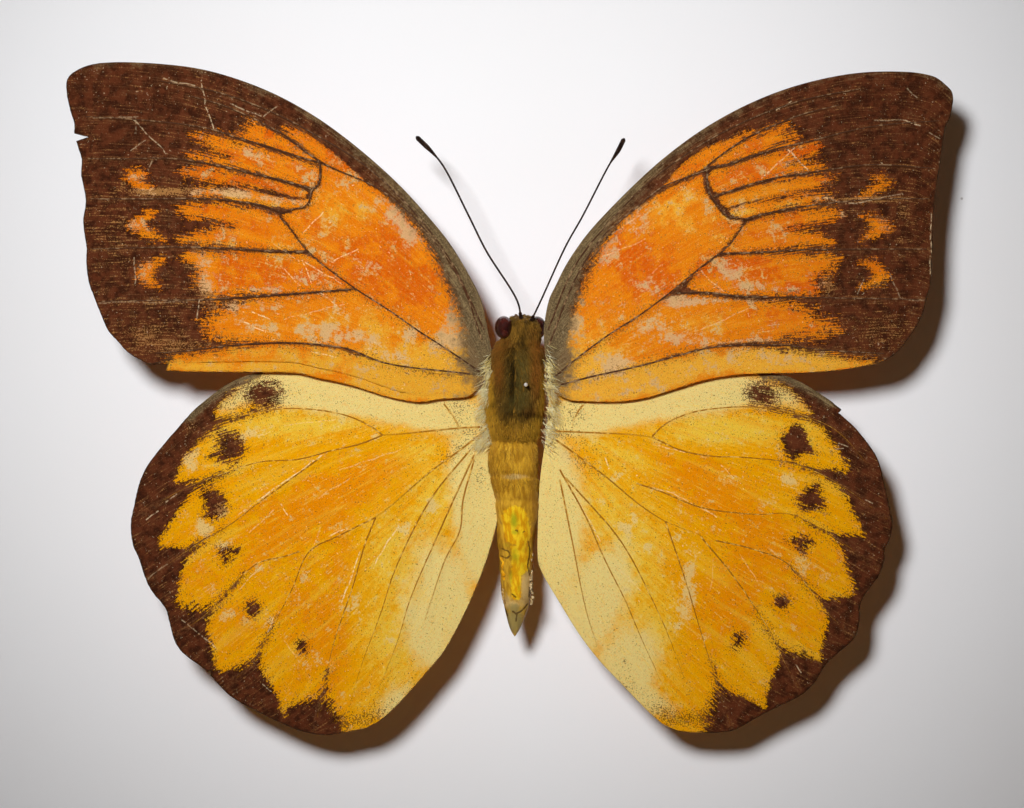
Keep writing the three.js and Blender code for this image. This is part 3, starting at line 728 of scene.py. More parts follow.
HIND_RIGHT_VEINS = {
    "humeral": [(583, 405), (577, 413), (572, 425)],
    "stem": [(553, 431), (600, 433), (630, 434.5), (652, 437)],
    "upper": [
        (652, 436), (665, 424), (690, 413), (720, 408), (752, 407), (790, 412), (835, 430), (872, 470),
    ],
    "media_1": [(652, 437), (680, 450), (710, 456), (740, 457), (790, 463), (830, 479), (888, 520)],
    "media_2": [(636, 483), (660, 491), (700, 507), (755, 514), (790, 514), (832, 536), (880, 570)],
    "cubitus": [(556, 440), (570, 450), (605, 476), (640, 505), (665, 521), (690, 531), (715, 540)],
    "media_3": [(715, 540), (750, 548), (785, 562), (810, 590), (826, 612), (853, 635)],
    "cubitus_1": [(700, 536), (730, 572), (755, 608), (773, 637), (783, 660), (800, 690)],
    "cubitus_2": [(665, 521), (685, 580), (703, 640), (715, 678), (730, 725)],
    "second_anal": [(560, 470), (585, 515), (605, 560), (625, 600), (642, 640), (658, 675), (674, 718)],
    "inner": [(566, 478), (620, 540), (650, 595), (672, 645), (694, 710)],
    "fold": [(560, 480), (572, 540), (586, 610), (597, 645)],
}
print(len(FORE_LEFT_VEINS), "veins on a forewing,", len(HIND_LEFT_VEINS), "on a hindwing")

# %% [markdown]
# The bright bars of the forewings are the gaps between dark veins, so each cell has its own outline. The
# chevrons near the margin belong to the same set. On the hindwings it is the dark marks that are drawn:
# one scalloped border with a tooth on every vein, and a row of spots.

# %% Marks on the forewings
FORE_LEFT_BRIGHT = [
    [
        (283, 128), (292, 128), (305, 134), (320, 144), (335, 156), (348, 168), (362, 179), (345, 172.5),
        (325, 162), (310, 151), (297, 141), (285, 133),
    ],
    [
        (233, 135), (247, 131), (250, 122), (258, 123), (270, 131), (286, 141), (302, 152), (318, 163),
        (306, 158.5), (285, 151.5), (268, 146), (252, 141), (240, 138),
    ],
    [
        (192, 136), (205, 135), (222, 138), (245, 145), (270, 152), (295, 160), (318, 168), (318, 180),
        (313, 187), (298, 183), (275, 177), (250, 171), (228, 166), (208, 162), (190, 156), (200, 155.5),
        (215, 156.5), (232, 158), (224, 154.5), (212, 149.5), (205, 143),
    ],
    [
        (180, 172), (195, 169), (205, 168), (220, 169.5), (240, 173.5), (262, 178.5), (285, 185.5),
        (306, 192), (306, 197), (290, 195.5), (270, 189), (250, 186), (235, 183.5), (220, 182), (205, 180),
        (190, 177),
    ],
    [
        (195, 192), (215, 189.5), (235, 188.5), (255, 192), (275, 197), (295, 201), (309, 200), (306, 206),
        (290, 208), (275, 206.5), (255, 202.5), (235, 200), (215, 197.5), (200, 196.5),
    ],
    [
        (178, 210), (185, 205), (215, 203.5), (240, 206), (262, 211), (278, 217), (290, 231), (306, 250),
        (285, 249), (250, 248), (215, 245), (185, 243), (178, 239), (190, 236), (203, 232), (218, 229),
        (236, 225), (220, 222), (203, 219), (186, 216),
    ],
    [
        (183, 256), (190, 254), (205, 252.5), (250, 252.5), (280, 254.5), (307, 256), (318, 262), (335, 275),
        (350, 287), (330, 289.5), (300, 291), (270, 293), (240, 294), (215, 296), (206, 292), (199, 282),
        (200, 270), (193, 263), (184, 259),
    ],
    [
        (357, 292), (375, 303), (405, 325), (435, 345), (470, 372), (440, 372), (385, 361), (350, 347.5),
        (320, 343), (280, 341), (250, 341.5), (225, 341), (208, 333), (206, 322), (214, 312), (232, 306),
        (252, 300), (280, 297.5), (320, 295), (350, 293),
    ],
    [
        (172, 357), (200, 352.5), (220, 350), (245, 346), (270, 344), (300, 345.5), (340, 351), (380, 364),
        (430, 376), (486, 378), (480, 410), (400, 412), (320, 392), (240, 382), (160, 382), (164, 366),
    ],
    [
        (323, 166), (340, 173), (360, 182), (378, 193), (398, 210), (418, 234), (432, 258), (444, 285),
        (456, 312), (474, 350), (478, 368), (450, 351), (420, 331), (390, 310), (352, 284), (311, 252),
        (292, 228), (284, 216), (296, 211.5), (309, 208.5), (313.5, 200), (315, 192), (321.5, 187),
        (323.5, 178),
    ],
    [
        (126, 175), (133, 171), (142, 170), (146, 175), (141, 180), (148, 184), (155, 191), (146, 192),
        (138, 189), (130, 183),
    ],
    [
        (158, 212), (148, 213), (140, 218), (133, 222), (127, 226), (133, 230), (142, 234), (152, 238),
        (165, 240), (158, 234), (150, 229), (146, 225), (150, 219),
    ],
    [
        (164, 259), (155, 260), (147, 263), (141, 268), (137, 275), (142, 281), (150, 286), (160, 288),
        (156, 283), (153, 277), (154, 271), (159, 265),
    ],
]
FORE_RIGHT_BRIGHT = [
    [
        (667, 185), (675, 174), (690, 161), (705, 150), (722, 143), (740, 136), (752, 132), (741, 142),
        (728, 151), (716, 159), (704, 167), (690, 173.5), (675, 180.5),
    ],
    [
        (712, 165), (722, 158), (735, 149), (748, 141), (760, 134), (772, 129), (783, 126), (786, 130),
        (783, 135), (797, 138), (788, 143), (770, 148), (755, 152.5), (740, 158), (725, 163),
    ],
    [
        (713, 171.5), (728, 168.5), (745, 162.5), (765, 156.5), (785, 150.5), (800, 146.5), (812, 143),
        (820, 145), (817, 151), (808, 155), (796, 160), (788, 164.5), (805, 163), (823, 166), (820, 169),
        (805, 171.5), (785, 175), (765, 179), (745, 185), (728, 190), (718, 193), (711, 186), (709, 177),
    ],
    [
        (720, 198), (735, 193), (755, 187), (775, 181.5), (795, 178.5), (815, 177), (835, 177), (828, 183),
        (815, 188), (800, 191), (785, 195), (765, 199), (745, 202), (727, 207), (722, 203),
    ],
    [
        (729, 211), (745, 205), (765, 202), (785, 199), (805, 194.5), (820, 195), (829, 198), (815, 203),
        (798, 206), (778, 210), (758, 214), (744, 217.5), (734, 216),
    ],
    [
        (748, 223), (760, 219), (780, 214.5), (805, 211), (825, 210), (842, 214), (833, 219), (815, 223),
        (800, 226), (785, 230), (800, 232), (815, 233), (828, 238), (833, 243), (815, 245), (790, 248),
        (760, 250), (735, 252), (724, 252), (732, 243), (740, 231),
    ],
    [
        (716, 259), (735, 256.5), (760, 255), (790, 254), (820, 254), (840, 258), (835, 266), (824, 273),
        (815, 279), (818, 287), (815, 294), (790, 295), (760, 295), (730, 293.5), (700, 291), (688, 287),
        (700, 272),
    ],
    [
        (660, 303), (676, 297), (700, 296.5), (730, 300.5), (760, 302), (785, 303), (800, 306), (812, 312),
        (820, 320), (835, 326), (838, 331), (820, 336), (795, 338), (770, 341), (740, 341.5), (715, 344),
        (690, 349.5), (670, 354), (640, 363), (605, 371), (555, 384), (575, 364), (600, 346), (625, 329),
        (645, 315),
    ],
    [
        (548, 392), (590, 380), (620, 374), (650, 366), (680, 357.5), (700, 351), (720, 348.5), (745, 347.5),
        (770, 348), (790, 350), (815, 354), (840, 357), (865, 360), (880, 364), (840, 376), (800, 382),
        (700, 394), (620, 412), (560, 408),
    ],
    [
        (556, 372), (590, 348), (625, 323), (655, 301), (680, 283), (700, 266), (718, 252), (728, 241),
        (737, 230), (741, 222), (730, 221), (721, 214), (712.5, 203), (704, 194), (702, 184), (701, 175),
        (690, 181.5), (672, 188.5), (655, 198), (640, 210), (625, 223), (608, 242), (597, 260), (588, 282),
        (580, 305), (570, 335),
    ],
    [
        (873, 177), (880, 177), (893, 184), (882, 188.5), (870, 195), (861, 198), (866, 191), (876, 186),
        (882, 183),
    ],
    [
        (861, 216), (868, 216), (878, 220), (888, 225), (892, 229), (885, 232), (876, 236), (866, 240),
        (858, 241), (864, 236), (870, 231), (872, 227), (868, 222),
    ],
    [
        (859, 261), (866, 261), (874, 263), (882, 268), (888, 275), (885, 281), (878, 286), (868, 288),
        (862, 287), (868, 283), (873, 278), (874, 274), (868, 267),
    ],
]
print(len(FORE_LEFT_BRIGHT), "bright marks on a forewing")

# %% Marks on the hindwings
HIND_LEFT_DARK = [
    [
        (262, 374), (245, 385), (230, 396), (222, 403), (216, 411), (217, 418), (228, 417), (240, 414.5),
        (255, 411.5), (266, 410.5), (255, 413), (243, 418), (228, 422), (221, 428), (210, 434), (201, 440),
        (195, 447), (188, 455), (181, 465), (177, 475), (177, 482), (190, 481), (203, 479), (215, 475.5),
        (230, 470.5), (241, 465), (231, 472.5), (215, 480), (205, 486), (196, 491), (190, 497), (183, 506),
        (177, 514), (172, 522), (166, 530), (161, 538), (161, 546), (172, 546.5), (186, 547), (198, 542),
        (208, 536.5), (223, 528), (208, 541), (199, 547), (192, 553), (187, 560), (183, 570), (181, 580),
        (179, 590), (177, 601), (184, 605), (196, 606), (206, 607), (213, 603), (222, 596.5), (232, 585.5),
        (245, 571), (234, 587), (225, 598), (216, 607), (210, 616), (208, 625), (208, 633), (213, 645),
        (213, 655), (216, 665), (222, 671), (232, 669), (241, 665), (251, 660), (257, 651), (263, 642),
        (277, 616), (270, 634), (264, 648), (261, 657), (261, 665), (265, 675), (271, 684), (277, 691),
        (280, 700), (281, 708), (284, 714), (288, 706), (298, 702), (309, 699), (319, 695), (324, 685),
        (328, 669), (327, 685), (329, 697), (333, 706), (338, 715), (341, 722), (347, 740), (300, 760),
        (230, 725), (185, 680), (150, 625), (115, 570), (108, 515), (120, 465), (165, 415), (210, 380),
        (250, 360),
    ],
    [
        (255, 383), (268, 381), (277, 386), (281, 395), (278, 404), (268, 408), (258, 405), (250, 401),
        (247, 393),
    ],
    [
        (225, 430), (236, 432), (243, 440), (247, 448), (242, 457), (236, 463), (226, 463), (216, 459),
        (209, 456), (219, 449), (217, 440), (220, 434),
    ],
    [
        (202, 490), (212, 488), (222, 492), (226, 499), (228, 508), (222, 517), (212, 520), (202, 517),
        (206, 509), (205, 502), (201, 497),
    ],
    [(216, 546), (228, 547), (241, 548), (235, 555), (230, 560), (225, 564), (221, 556)],
    [(246, 602), (256, 600), (261, 606), (258, 614), (250, 618), (247, 611)],
    [(296, 640), (304, 638), (308, 645), (307, 653), (299, 651)],
]
HIND_RIGHT_DARK = [
    [
        (768, 376), (783, 387), (795, 396), (804, 405), (811, 414), (802, 414), (790, 411.5), (775, 408),
        (756, 405.5), (775, 410.5), (790, 415), (803, 419), (812, 423), (820, 427), (826, 434), (831, 441),
        (836, 448), (840, 455), (844, 462), (847, 471), (835, 470), (820, 469), (808, 467), (795, 463),
        (778, 460), (800, 467), (812, 472), (822, 477), (832, 483), (840, 489), (845, 496), (848, 503),
        (851, 511), (857, 519), (861, 527), (864, 534), (852, 533), (838, 534), (828, 531), (818, 526),
        (805, 521), (795, 516), (812, 526), (824, 533), (834, 539), (839, 546), (843, 554), (845, 563),
        (849, 575), (852, 585), (853, 594), (845, 595), (835, 598), (824, 599), (817, 594), (808, 585),
        (798, 575), (789, 565), (806, 586), (814, 596), (821, 604), (826, 612), (827, 622), (824, 632),
        (823, 643), (820, 652), (819, 660), (810, 656), (800, 651), (790, 650), (783, 649), (777, 642),
        (770, 633), (762, 621), (756, 611), (768, 632), (775, 643), (779, 652), (779, 661), (775, 668),
        (771, 677), (768, 688), (765, 697), (763, 707), (756, 702), (745, 697), (735, 692), (727, 690),
        (721, 684), (717, 675), (711, 661), (715, 678), (716, 688), (712, 696), (709, 703), (707, 712),
        (706, 722), (702, 740), (770, 735), (840, 690), (880, 650), (900, 600), (915, 540), (905, 460),
        (870, 410), (820, 375), (780, 362),
    ],
    [(757, 384), (765, 383), (772, 390), (775, 398), (768, 404), (758, 405), (750, 400), (748, 391)],
    [
        (793, 424), (800, 426), (806, 432), (808, 440), (812, 448), (816, 454), (806, 454), (798, 456),
        (793, 461), (786, 456), (781, 447), (781, 438), (786, 430),
    ],
    [
        (806, 487), (814, 483), (820, 483), (820, 492), (822, 500), (826, 511), (815, 508), (805, 512),
        (800, 507), (796, 500), (801, 493),
    ],
    [(786, 540), (797, 536), (808, 538), (814, 541), (807, 547), (804, 554), (797, 548)],
    [(775, 596), (783, 595), (789, 600), (786, 608), (778, 609), (774, 603)],
    [(734, 633), (743, 633), (747, 640), (741, 645), (735, 650), (731, 648), (735, 641)],
]
print(len(HIND_LEFT_DARK), "dark marks on a hindwing")

# %% [markdown]
# On top of the marks lie softer things: where the orange deepens or turns to gold, where handling has
# rubbed the scales away and the pale skin shows, and where dark is sprinkled thinly, most just outside the
# dark marks and at the wing roots. Each is a handful of soft ovals.

# %% Soft patches
FORE_LEFT_SOFT = {
    "deep": [
        (400, 270, 45, 40, 0.8, 30), (370, 240, 40, 30, 0.5, 20), (260, 272, 60, 18, 0.9),
        (345, 155, 30, 12, 0.9, -35), (270, 165, 45, 8, 0.5, -14), (250, 181, 50, 6, 0.7, -12),
        (225, 150, 25, 7, 0.6, -10), (300, 360, 45, 9, 0.5), (270, 137, 25, 8, 0.7, -30),
        (205, 210, 25, 6, 0.6), (250, 230, 35, 10, 0.4), (310, 222, 30, 12, 0.5, -40),
        (270, 312, 50, 8, 0.4), (350, 310, 30, 10, 0.2, -30), (420, 300, 22, 26, 0.4, 40),
    ],
    "pale": [
        (300, 325, 90, 18, 0.45), (270, 352, 90, 6, 0.5), (360, 215, 40, 24, 0.3, 30),
        (440, 385, 60, 22, 0.9), (420, 365, 60, 20, 0.7, -10), (385, 330, 40, 20, 0.4, -30),
        (470, 360, 30, 40, 0.9), (380, 380, 60, 12, 0.3, -10), (200, 366, 60, 8, 0.9),
        (300, 366, 70, 8, 0.8, 6), (400, 378, 60, 16, 0.6), (280, 250, 30, 14, 0.5),
        (250, 200, 60, 5, 0.5, -8), (330, 205, 30, 14, 0.35, -10), (200, 245, 40, 4, 0.4),
    ],
    "worn": [
        (255, 197, 55, 4, 0.9, -8), (165, 192, 26, 5, 0.9), (150, 335, 36, 20, 0.8), (115, 240, 24, 50, 0.5),
        (300, 280, 30, 8, 0.3, 10), (270, 160, 40, 5, 0.2, -14), (205, 288, 12, 11, 1.2),
        (205, 255, 20, 22, 0.4), (285, 250, 26, 10, 0.4), (202, 262, 13, 12, 0.6),
        (395, 357, 20, 9, 1.0, -15), (411, 335, 12, 8, 0.7), (350, 335, 40, 9, 0.55, -10),
        (285, 330, 50, 8, 0.5), (230, 305, 40, 7, 0.7), (240, 322, 22, 9, 0.5), (185, 345, 35, 6, 0.7, 5),
        (412, 235, 10, 24, 0.8, 40), (388, 213, 10, 20, 0.5, 45), (448, 345, 18, 16, 0.6),
        (365, 264, 12, 6, 0.5), (180, 193, 40, 4, 0.8), (140, 193, 22, 4, 0.4), (120, 303, 25, 3.5, 0.5),
        (170, 303, 30, 5, 0.5), (240, 192, 22, 4, 0.5, -8), (265, 290, 20, 4, 0.8),
        (455, 330, 14, 30, 0.5, 25), (345, 365, 30, 5, 0.35), (340, 342, 22, 8, 0.4),
        (125, 185, 14, 5, 0.5, 40), (205, 120, 8, 25, 0.25), (350, 312, 22, 8, 0.4), (250, 152, 12, 6, 0.2),
        (460, 385, 22, 10, 0.4),
    ],
    "fray": [
        (250, 128, 22, 12, 0.8), (215, 320, 26, 24, 1.0), (165, 322, 22, 10, 0.9), (205, 150, 25, 12, 0.5),
        (200, 190, 22, 8, 0.7), (288, 130, 12, 6, 0.7), (440, 290, 22, 50, 0.9, 25),
        (405, 222, 18, 22, 0.4, 45), (180, 352, 20, 5, 0.4), (190, 285, 16, 14, 0.5),
    ],
}
FORE_RIGHT_SOFT = {
    "deep": [
        (640, 265, 45, 30, 0.9, -35), (745, 265, 45, 12, 1.1), (800, 285, 28, 8, 0.9),
        (755, 172, 35, 9, 0.7, 15), (805, 148, 20, 7, 0.9, 15), (690, 165, 20, 9, 0.8, -35),
        (715, 232, 22, 16, 0.5, -40), (790, 220, 30, 6, 0.8), (760, 235, 25, 8, 0.4), (760, 315, 45, 9, 0.6),
        (745, 357, 35, 10, 0.6), (690, 350, 30, 8, 0.3, 10), (800, 330, 30, 6, 0.4),
        (755, 148, 25, 8, 0.4, 25), (820, 180, 15, 4, 0.4, 10),
    ],
    "pale": [
        (700, 325, 60, 16, 0.35), (760, 362, 80, 8, 0.6), (680, 225, 40, 20, 0.3, -35),
        (590, 385, 60, 22, 0.9), (640, 375, 60, 18, 0.6, 10), (600, 350, 40, 20, 0.5, 30),
        (560, 340, 22, 50, 0.8), (720, 240, 30, 10, 0.3, -40), (790, 352, 40, 8, 0.8),
        (760, 366, 70, 10, 0.7), (660, 378, 60, 10, 0.6, 8), (760, 210, 50, 4, 0.6, 10),
        (680, 205, 30, 14, 0.35, 30), (830, 364, 50, 6, 0.6), (760, 190, 40, 5, 0.3, 12),
        (650, 322, 22, 10, 0.3, 20), (740, 203, 22, 5, 0.4, 10),
    ],
    "worn": [
        (880, 330, 34, 22, 0.7), (905, 220, 22, 50, 0.4), (800, 170, 30, 5, 0.4, 10), (860, 200, 40, 4, 0.7),
        (790, 162, 14, 4, 0.6, 10), (650, 325, 26, 12, 0.9, 20), (675, 340, 28, 9, 0.8, 5),
        (620, 362, 22, 9, 0.9), (630, 225, 14, 8, 0.8, -45), (608, 250, 10, 18, 0.6, -30),
        (655, 290, 20, 8, 0.5, -30), (728, 272, 12, 12, 0.7), (770, 288, 30, 5, 0.5), (828, 285, 8, 10, 1.1),
        (570, 330, 14, 30, 0.8), (690, 303, 26, 5, 0.7), (750, 342, 60, 4, 0.6), (770, 325, 25, 5, 0.3),
        (780, 358, 22, 7, 0.35), (845, 214, 10, 5, 0.5), (860, 200, 30, 3, 0.6), (590, 390, 26, 9, 0.5),
        (708, 372, 20, 9, 0.5), (730, 360, 8, 8, 0.6), (740, 206, 14, 5, 0.5, 10), (610, 375, 30, 5, 0.4),
        (745, 300, 60, 3, 0.7), (640, 215, 16, 6, 0.4, -40), (600, 235, 8, 26, 0.4, -38),
    ],
    "fray": [
        (780, 132, 24, 12, 0.9), (815, 320, 30, 24, 1.0), (862, 320, 18, 8, 0.9), (805, 155, 22, 10, 0.6),
        (825, 275, 16, 16, 0.9), (745, 134, 16, 8, 0.8), (590, 275, 20, 50, 0.9, -25),
        (820, 198, 22, 7, 0.8), (870, 355, 25, 8, 0.5),
    ],
}
HIND_LEFT_SOFT = {
    "deep": [
        (330, 500, 60, 28, 0.8, 25), (270, 540, 40, 20, 0.7, 35), (310, 620, 30, 50, 0.6, 10),
        (240, 620, 26, 26, 0.5), (380, 470, 50, 18, 0.4, 20), (200, 575, 18, 22, 0.5),
        (340, 560, 20, 40, 0.5), (270, 500, 40, 12, 0.3, 30), (335, 660, 18, 40, 0.4),
    ],
    "pale": [
        (380, 400, 90, 20, 1.3, -8), (300, 388, 50, 16, 1.2), (440, 415, 30, 14, 0.8),
        (475, 520, 20, 60, 1.3, 12), (450, 590, 18, 50, 1.0, 22), (425, 640, 20, 36, 0.8, 25),
        (395, 700, 24, 16, 0.7, 40), (492, 500, 12, 50, 1.2), (488, 570, 10, 30, 1.0, 10),
        (430, 600, 26, 60, 0.5, 22), (235, 402, 22, 10, 0.5, 20), (470, 460, 16, 30, 0.9),
    ],
    "lemon": [
        (300, 425, 70, 16, 0.9), (400, 560, 40, 60, 0.7, 20), (390, 650, 30, 50, 0.7, 20),
        (440, 500, 26, 50, 0.7, 25), (230, 470, 30, 18, 0.3), (420, 450, 40, 10, 0.4, 10),
        (220, 440, 20, 30, 0.4), (360, 700, 20, 22, 0.3),
    ],
    "worn": [
        (222, 510, 7, 8, 1.1), (204, 526, 10, 8, 1.4, -40), (225, 545, 10, 5, 0.8), (190, 460, 10, 12, 0.8),
        (190, 428, 7, 10, 0.8), (245, 438, 14, 6, 0.6, 30), (230, 616, 12, 8, 0.6), (268, 618, 10, 10, 0.5),
        (320, 660, 14, 8, 0.5), (375, 437, 8, 6, 0.5), (355, 605, 20, 12, 0.5, -40), (345, 580, 10, 5, 0.5),
        (405, 527, 8, 7, 0.8), (433, 507, 7, 8, 1.1), (390, 635, 12, 8, 0.4), (265, 565, 8, 5, 0.6, 30),
        (310, 575, 22, 5, 0.5, 40), (330, 430, 12, 5, 0.4), (315, 700, 8, 6, 0.4),
        (210, 590, 14, 7, 0.4, 20), (205, 560, 10, 4, 0.4), (255, 430, 22, 4, 0.4, 15),
        (180, 610, 8, 5, 0.4), (345, 460, 26, 4, 0.35, 25),
    ],
    "fray": [
        (265, 395, 28, 22, 1.0), (230, 447, 22, 22, 0.6), (215, 505, 18, 18, 0.4), (200, 607, 28, 9, 0.8),
        (325, 705, 26, 18, 0.8), (228, 552, 14, 9, 0.5), (250, 665, 20, 6, 0.4), (185, 480, 14, 7, 0.3),
    ],
    "dark_sprinkle": [
        (340, 722, 40, 9, 0.8, 10), (375, 712, 22, 9, 0.5, 30), (410, 690, 16, 10, 0.3, 40),
        (265, 395, 26, 20, 0.6), (455, 452, 20, 8, 0.6, 30), (460, 410, 16, 14, 0.6),
        (240, 400, 20, 8, 0.3, 20), (480, 478, 6, 14, 0.6), (470, 432, 12, 6, 0.6),
    ],
}
HIND_RIGHT_SOFT = {
    "deep": [
        (720, 500, 55, 26, 0.8, -20), (770, 540, 40, 22, 0.6, -30), (740, 600, 24, 45, 0.7, -15),
        (690, 470, 45, 15, 0.5, -10), (800, 620, 22, 26, 0.4), (825, 565, 16, 26, 0.5),
        (700, 620, 20, 60, 0.4, -15), (780, 575, 20, 20, 0.4), (735, 560, 30, 20, 0.3),
    ],
    "pale": [
        (640, 405, 80, 18, 1.3, 8), (720, 392, 50, 16, 1.2), (590, 415, 26, 14, 0.8),
        (558, 540, 20, 60, 1.3, -12), (590, 610, 18, 50, 1.0, -25), (620, 660, 20, 34, 0.8, -35),
        (650, 700, 26, 16, 0.7, -35), (545, 480, 12, 50, 1.2), (600, 590, 40, 60, 0.6, -25),
        (575, 420, 30, 16, 0.6), (640, 670, 20, 40, 0.6, -35), (790, 400, 20, 10, 0.5, -20),
        (556, 470, 14, 30, 0.9),
    ],
    "lemon": [
        (740, 430, 60, 16, 0.9), (630, 560, 36, 60, 0.8, -25), (650, 640, 30, 50, 0.7, -25),
        (600, 500, 30, 50, 0.6, -30), (690, 430, 40, 14, 0.5), (730, 480, 40, 8, 0.2),
        (610, 450, 50, 10, 0.5, -20), (810, 440, 14, 20, 0.4), (680, 690, 20, 24, 0.3),
    ],
    "worn": [
        (788, 482, 12, 8, 0.9, -20), (685, 605, 11, 28, 0.8, -12), (690, 565, 7, 26, 0.6, -12),
        (626, 528, 11, 7, 0.9, -20), (645, 548, 6, 6, 0.7), (634, 518, 4, 4, 1.0), (675, 538, 12, 6, 0.6),
        (770, 500, 10, 7, 0.5), (732, 480, 10, 6, 0.5), (617, 477, 10, 7, 0.6), (744, 440, 6, 5, 0.5),
        (706, 636, 7, 7, 0.6), (724, 662, 8, 6, 0.5), (782, 625, 8, 6, 0.4), (800, 565, 14, 9, 0.6, -40),
        (825, 577, 9, 6, 0.5), (720, 430, 8, 8, 0.3), (600, 500, 6, 6, 0.6), (565, 455, 6, 10, 0.9, 30),
        (710, 445, 20, 4, 0.3, -20), (690, 515, 40, 4, 0.35, -25), (635, 630, 12, 12, 0.4),
        (770, 590, 10, 7, 0.4), (850, 470, 8, 12, 0.3),
    ],
    "fray": [
        (764, 393, 28, 22, 1.0), (797, 541, 18, 14, 0.6), (712, 712, 22, 22, 0.9), (845, 470, 14, 12, 0.5),
        (735, 640, 10, 10, 0.4), (795, 655, 16, 6, 0.4), (812, 498, 18, 15, 0.35),
    ],
    "dark_sprinkle": [
        (690, 718, 34, 10, 0.9), (660, 708, 18, 10, 0.6, -35), (630, 685, 14, 7, 0.35, -40),
        (764, 393, 30, 20, 0.7), (582, 462, 24, 8, 0.6, -35), (574, 412, 14, 14, 0.6),
        (595, 450, 24, 5, 0.4, -30), (624, 662, 3, 5, 0.8), (560, 434, 14, 6, 0.7),
    ],
}

# %% [markdown]
# Scratches are hair lines where something brushed the wing. Each is a start, an end and how strong it is.
# The shader measures the distance to the segment, bent a little by noise, and breaks it into dots.

# %% Scratches
FORE_LEFT_SCRATCHES = [
    (203, 82, 207, 106, 1.0), (207, 106, 215, 130, 1.0), (135, 121, 168, 155, 0.7),
    (133, 152, 147, 142, 0.6), (150, 171, 156, 158, 0.5), (165, 80, 196, 88, 0.7), (232, 105, 262, 118, 0.7),
    (265, 118, 278, 107, 0.6), (202, 300, 198, 320, 0.8), (254, 313, 272, 320, 0.9),
    (245, 322, 271, 333, 0.9), (303, 236, 324, 213, 0.8), (334, 263, 358, 249, 0.8),
    (303, 261, 313, 284, 0.8), (305, 262, 342, 284, 0.6), (322, 293, 338, 306, 0.7),
    (282, 267, 301, 286, 0.6), (313, 352, 336, 357, 0.8), (95, 119, 140, 119, 0.4),
    (138, 118, 137, 135, 0.3), (190, 303, 98, 303, 0.35), (136, 258, 137, 285, 0.5),
    (345, 305, 285, 320, 0.4), (275, 245, 300, 262, 0.4),
]
FORE_RIGHT_SCRATCHES = [
    (760, 180, 792, 149, 0.8), (786, 150, 806, 172, 0.8), (903, 122, 918, 127, 1.0),
    (873, 122, 903, 122, 0.5), (905, 90, 915, 99, 0.5), (929, 214, 928.5, 246, 0.9),
    (928.5, 246, 928, 274, 0.8), (852, 300, 862, 280, 0.5), (820, 199, 845, 205, 0.6),
    (845, 205, 868, 202, 0.7), (868, 202, 900, 194, 0.5), (888, 275, 899, 300, 0.4),
    (755, 305, 700, 330, 0.4), (645, 240, 600, 258, 0.5), (612, 235, 640, 215, 0.4),
    (700, 272, 722, 292, 0.5), (775, 112, 790, 103, 0.8), (925, 133, 937, 140, 0.5),
    (660, 265, 640, 285, 0.3), (900, 300, 924, 301, 0.5),
]
HIND_LEFT_SCRATCHES = [
    (328, 451, 296, 474, 1.0), (296, 474, 262, 498, 1.0), (262, 498, 236, 516, 0.6),
    (281, 504, 288, 515, 0.8), (360, 552, 350, 580, 1.0), (350, 580, 342, 602, 1.0),
    (400, 524, 385, 546, 0.9), (385, 546, 374, 568, 0.8), (147, 519, 158, 511, 1.0),
    (166, 502, 178, 494, 0.7), (250, 532, 275, 510, 0.5), (240, 590, 262, 565, 0.6),
    (320, 528, 312, 552, 0.5), (285, 425, 335, 420, 0.4), (270, 432, 258, 436, 0.5),
    (268, 632, 275, 616, 0.8), (263, 683, 272, 690, 0.8), (183, 620, 218, 648, 0.6),
    (150, 578, 168, 563, 0.4), (285, 640, 300, 662, 0.4), (340, 470, 400, 450, 0.4),
    (330, 536, 348, 528, 0.9), (350, 478, 320, 498, 0.4),
]
HIND_RIGHT_SCRATCHES = [
    (640, 485, 672, 493, 0.7), (672, 493, 716, 517, 0.7), (720, 465, 733, 478, 0.5),
    (605, 458, 609, 468, 0.9), (838, 443, 850, 449, 0.7), (865, 500, 872, 503, 0.9),
    (796, 664, 801, 672, 0.9), (620, 570, 640, 590, 0.4), (740, 555, 756, 580, 0.4),
    (655, 445, 684, 452, 0.7), (765, 545, 782, 560, 0.4), (578, 500, 600, 540, 0.8),
    (835, 449, 842, 449, 0.6), (710, 590, 713, 560, 0.3),
]

# %% [markdown]
# Now the skin itself. A flat grid is bent so that its four sides follow the wing's root, front, margin and
# rear edge, which is a Coons patch: it is the simplest sheet that meets four given curves, and its lines
# fan out from the body as the real folds do. The sheet is arched a little and stands proud along veins.

# %% The wing sheet
SPACING = 0.26
SKIN = 0.12
FOREWING_LIE = {"root": 11.0, "rise": 0.9, "camber": 0.9}
HINDWING_LIE = {"root": 9.6, "rise": 1.1, "camber": 0.8}
VEIN_LIFT = 0.10
VEIN_REACH = 0.55


def wing_height(lie, out, back):
    arch = np.sin(math.pi * out) * np.sin(math.pi * back)
    return lie["root"] + lie["rise"] * out + lie["camber"] * arch


